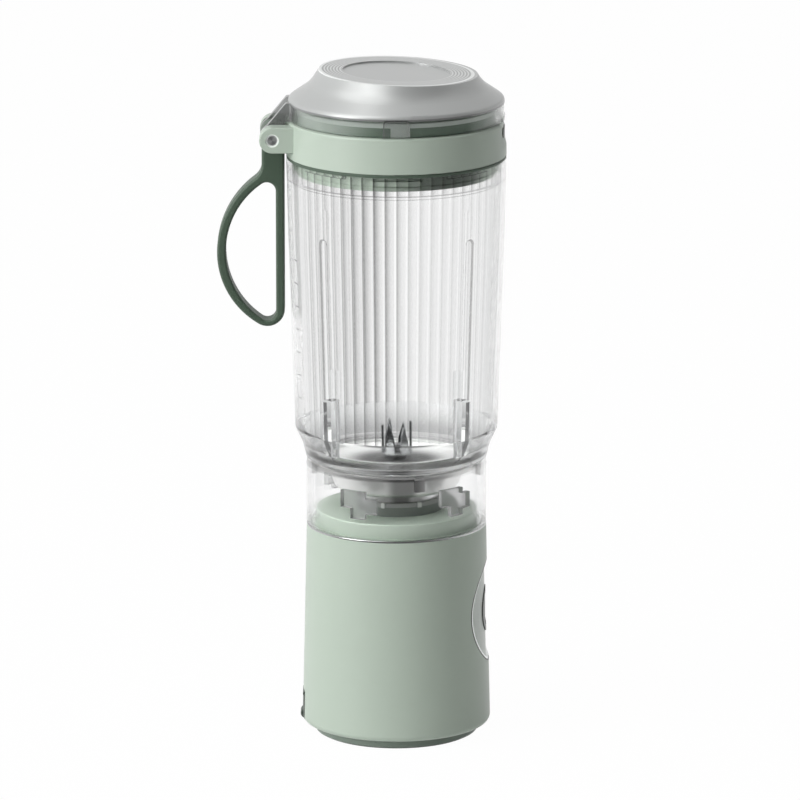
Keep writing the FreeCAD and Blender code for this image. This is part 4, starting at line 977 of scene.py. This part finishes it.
def add_floor():
    """A white floor that glows for the camera and for clear parts, and dims in front for reflections."""
    corners = FLOOR_HALF * np.array([(-1, -1, 0), (1, -1, 0), (1, 1, 0), (-1, 1, 0)])
    floor = mesh_object("studio_floor", corners, np.array([(0, 1, 2, 3)]))
    f = Finish("studio_floor")
    f.set(Base_Color=(0.9, 0.9, 0.9, 1.0), Roughness=0.9)
    camera, through, glossy = seen_by(f.tree)
    front = 1.0 - f.axes()[1].ramp(*FLOOR_BRIGHTENS)
    white = add_node(f.tree, "Emission", Color=(1, 1, 1, 1),
                     Strength=1.0 - glossy * front * (1.0 - ROOM_LEVEL))
    f.cover((camera + glossy + through).clipped() * FLOOR_WHITE, white)
    floor.data.materials.append(f.material)


def add_world(scene):
    """A sky that is white to the camera and to clear parts, and dark in front for reflections."""
    scene.world = bpy.data.worlds.new("studio_world")
    scene.world.use_nodes = True
    tree = scene.world.node_tree
    tree.nodes.clear()
    camera, through, glossy = seen_by(tree)
    where = add_node(tree, "TexCoord")
    split = add_node(tree, "SeparateXYZ", Vector=where.outputs["Generated"])
    behind = Value(tree, split.outputs["Y"]).ramp(*SKY_BRIGHTENS)
    room = glossy * (ROOM_LEVEL + behind * (1.0 - ROOM_LEVEL))
    seen = (camera + through).clipped()
    level = (1.0 - glossy) * (seen * (1.0 - WORLD_LEVEL) + WORLD_LEVEL) + room
    sky = add_node(tree, "Background", Strength=level)
    add_node(tree, "OutputWorld", Surface=sky.outputs[0])


def add_lamp(scene, name, place, size, power, spread):
    """A rectangular lamp aimed at the blender; a narrow one lights it but isn't seen itself."""
    data = bpy.data.lights.new(name, "AREA")
    data.shape = "RECTANGLE"
    data.size, data.size_y = size
    data.energy = power
    data.spread = math.radians(spread)
    lamp = bpy.data.objects.new(name, data)
    lamp.location = place
    lamp.visible_camera = lamp.visible_transmission = lamp.visible_glossy = spread == WIDE
    aim = Vector(LAMP_TARGET) - Vector(place)
    lamp.rotation_euler = aim.to_track_quat("-Z", "Y").to_euler()
    scene.collection.objects.link(lamp)


def add_camera(scene):
    """A long lens, tilted down by the camera's elevation."""
    data = bpy.data.cameras.new("camera")
    data.lens = CAMERA_FOCAL * CAMERA_SENSOR / CAMERA_FRAME
    data.sensor_width = CAMERA_SENSOR
    data.clip_end = CAMERA_REACH
    camera = bpy.data.objects.new("camera", data)
    tilt = math.radians(CAMERA_ELEVATION)
    back, up = CAMERA_DISTANCE * math.cos(tilt), CAMERA_DISTANCE * math.sin(tilt)
    camera.location = (CAMERA_SIDE, -back, CAMERA_TARGET + up)
    camera.rotation_euler = (math.pi / 2 - tilt, 0, 0)
    scene.collection.objects.link(camera)
    scene.camera = camera


class BuildStudio(bpy.types.Operator):
    """Make the floor, the backdrop, the lights and the camera"""

    bl_idname = "blender_looks.studio"
    bl_label = "Studio"

    def execute(self, context):
        context.scene.view_settings.view_transform = "Standard"
        add_floor()
        add_world(context.scene)
        for lamp in LAMPS:
            add_lamp(context.scene, *lamp)
        add_camera(context.scene)
        return {"FINISHED"}


class LooksPanel(bpy.types.Panel):
    """The blender's pieces, finishes and studio"""

    bl_idname = "VIEW3D_PT_blender_looks"
    bl_label = "Personal Blender"
    bl_space_type = "VIEW_3D"
    bl_region_type = "UI"
    bl_category = "Personal Blender"

    def draw(self, context):
        for group in (context.scene.shell_looks, context.scene.soft_looks, context.scene.clear_looks):
            box = self.layout.box()
            for key in group.bl_rna.properties.keys():
                if key not in ("rna_type", "name"):
                    box.prop(group, key)
        for operator in OPERATORS:
            self.layout.operator(operator.bl_idname)


GROUPS = {"shell_looks": ShellLooks, "soft_looks": SoftLooks, "clear_looks": ClearLooks}
OPERATORS = (BuildShell, BuildSoft, BuildMetal, BuildClear, BuildStudio)


def register():
    for kind in (*GROUPS.values(), *OPERATORS, LooksPanel):
        bpy.utils.register_class(kind)
    for name, group in GROUPS.items():
        setattr(bpy.types.Scene, name, bpy.props.PointerProperty(type=group))


def unregister():
    for name in GROUPS:
        delattr(bpy.types.Scene, name)
    for kind in (LooksPanel, *reversed(OPERATORS), *reversed(GROUPS.values())):
        bpy.utils.unregister_class(kind)


def main():
    register()
    for operator in OPERATORS:
        prefix, name = operator.bl_idname.split(".")
        getattr(getattr(bpy.ops, prefix), name)()
    bpy.context.view_layer.update()


if __name__ == "__main__":
    main()
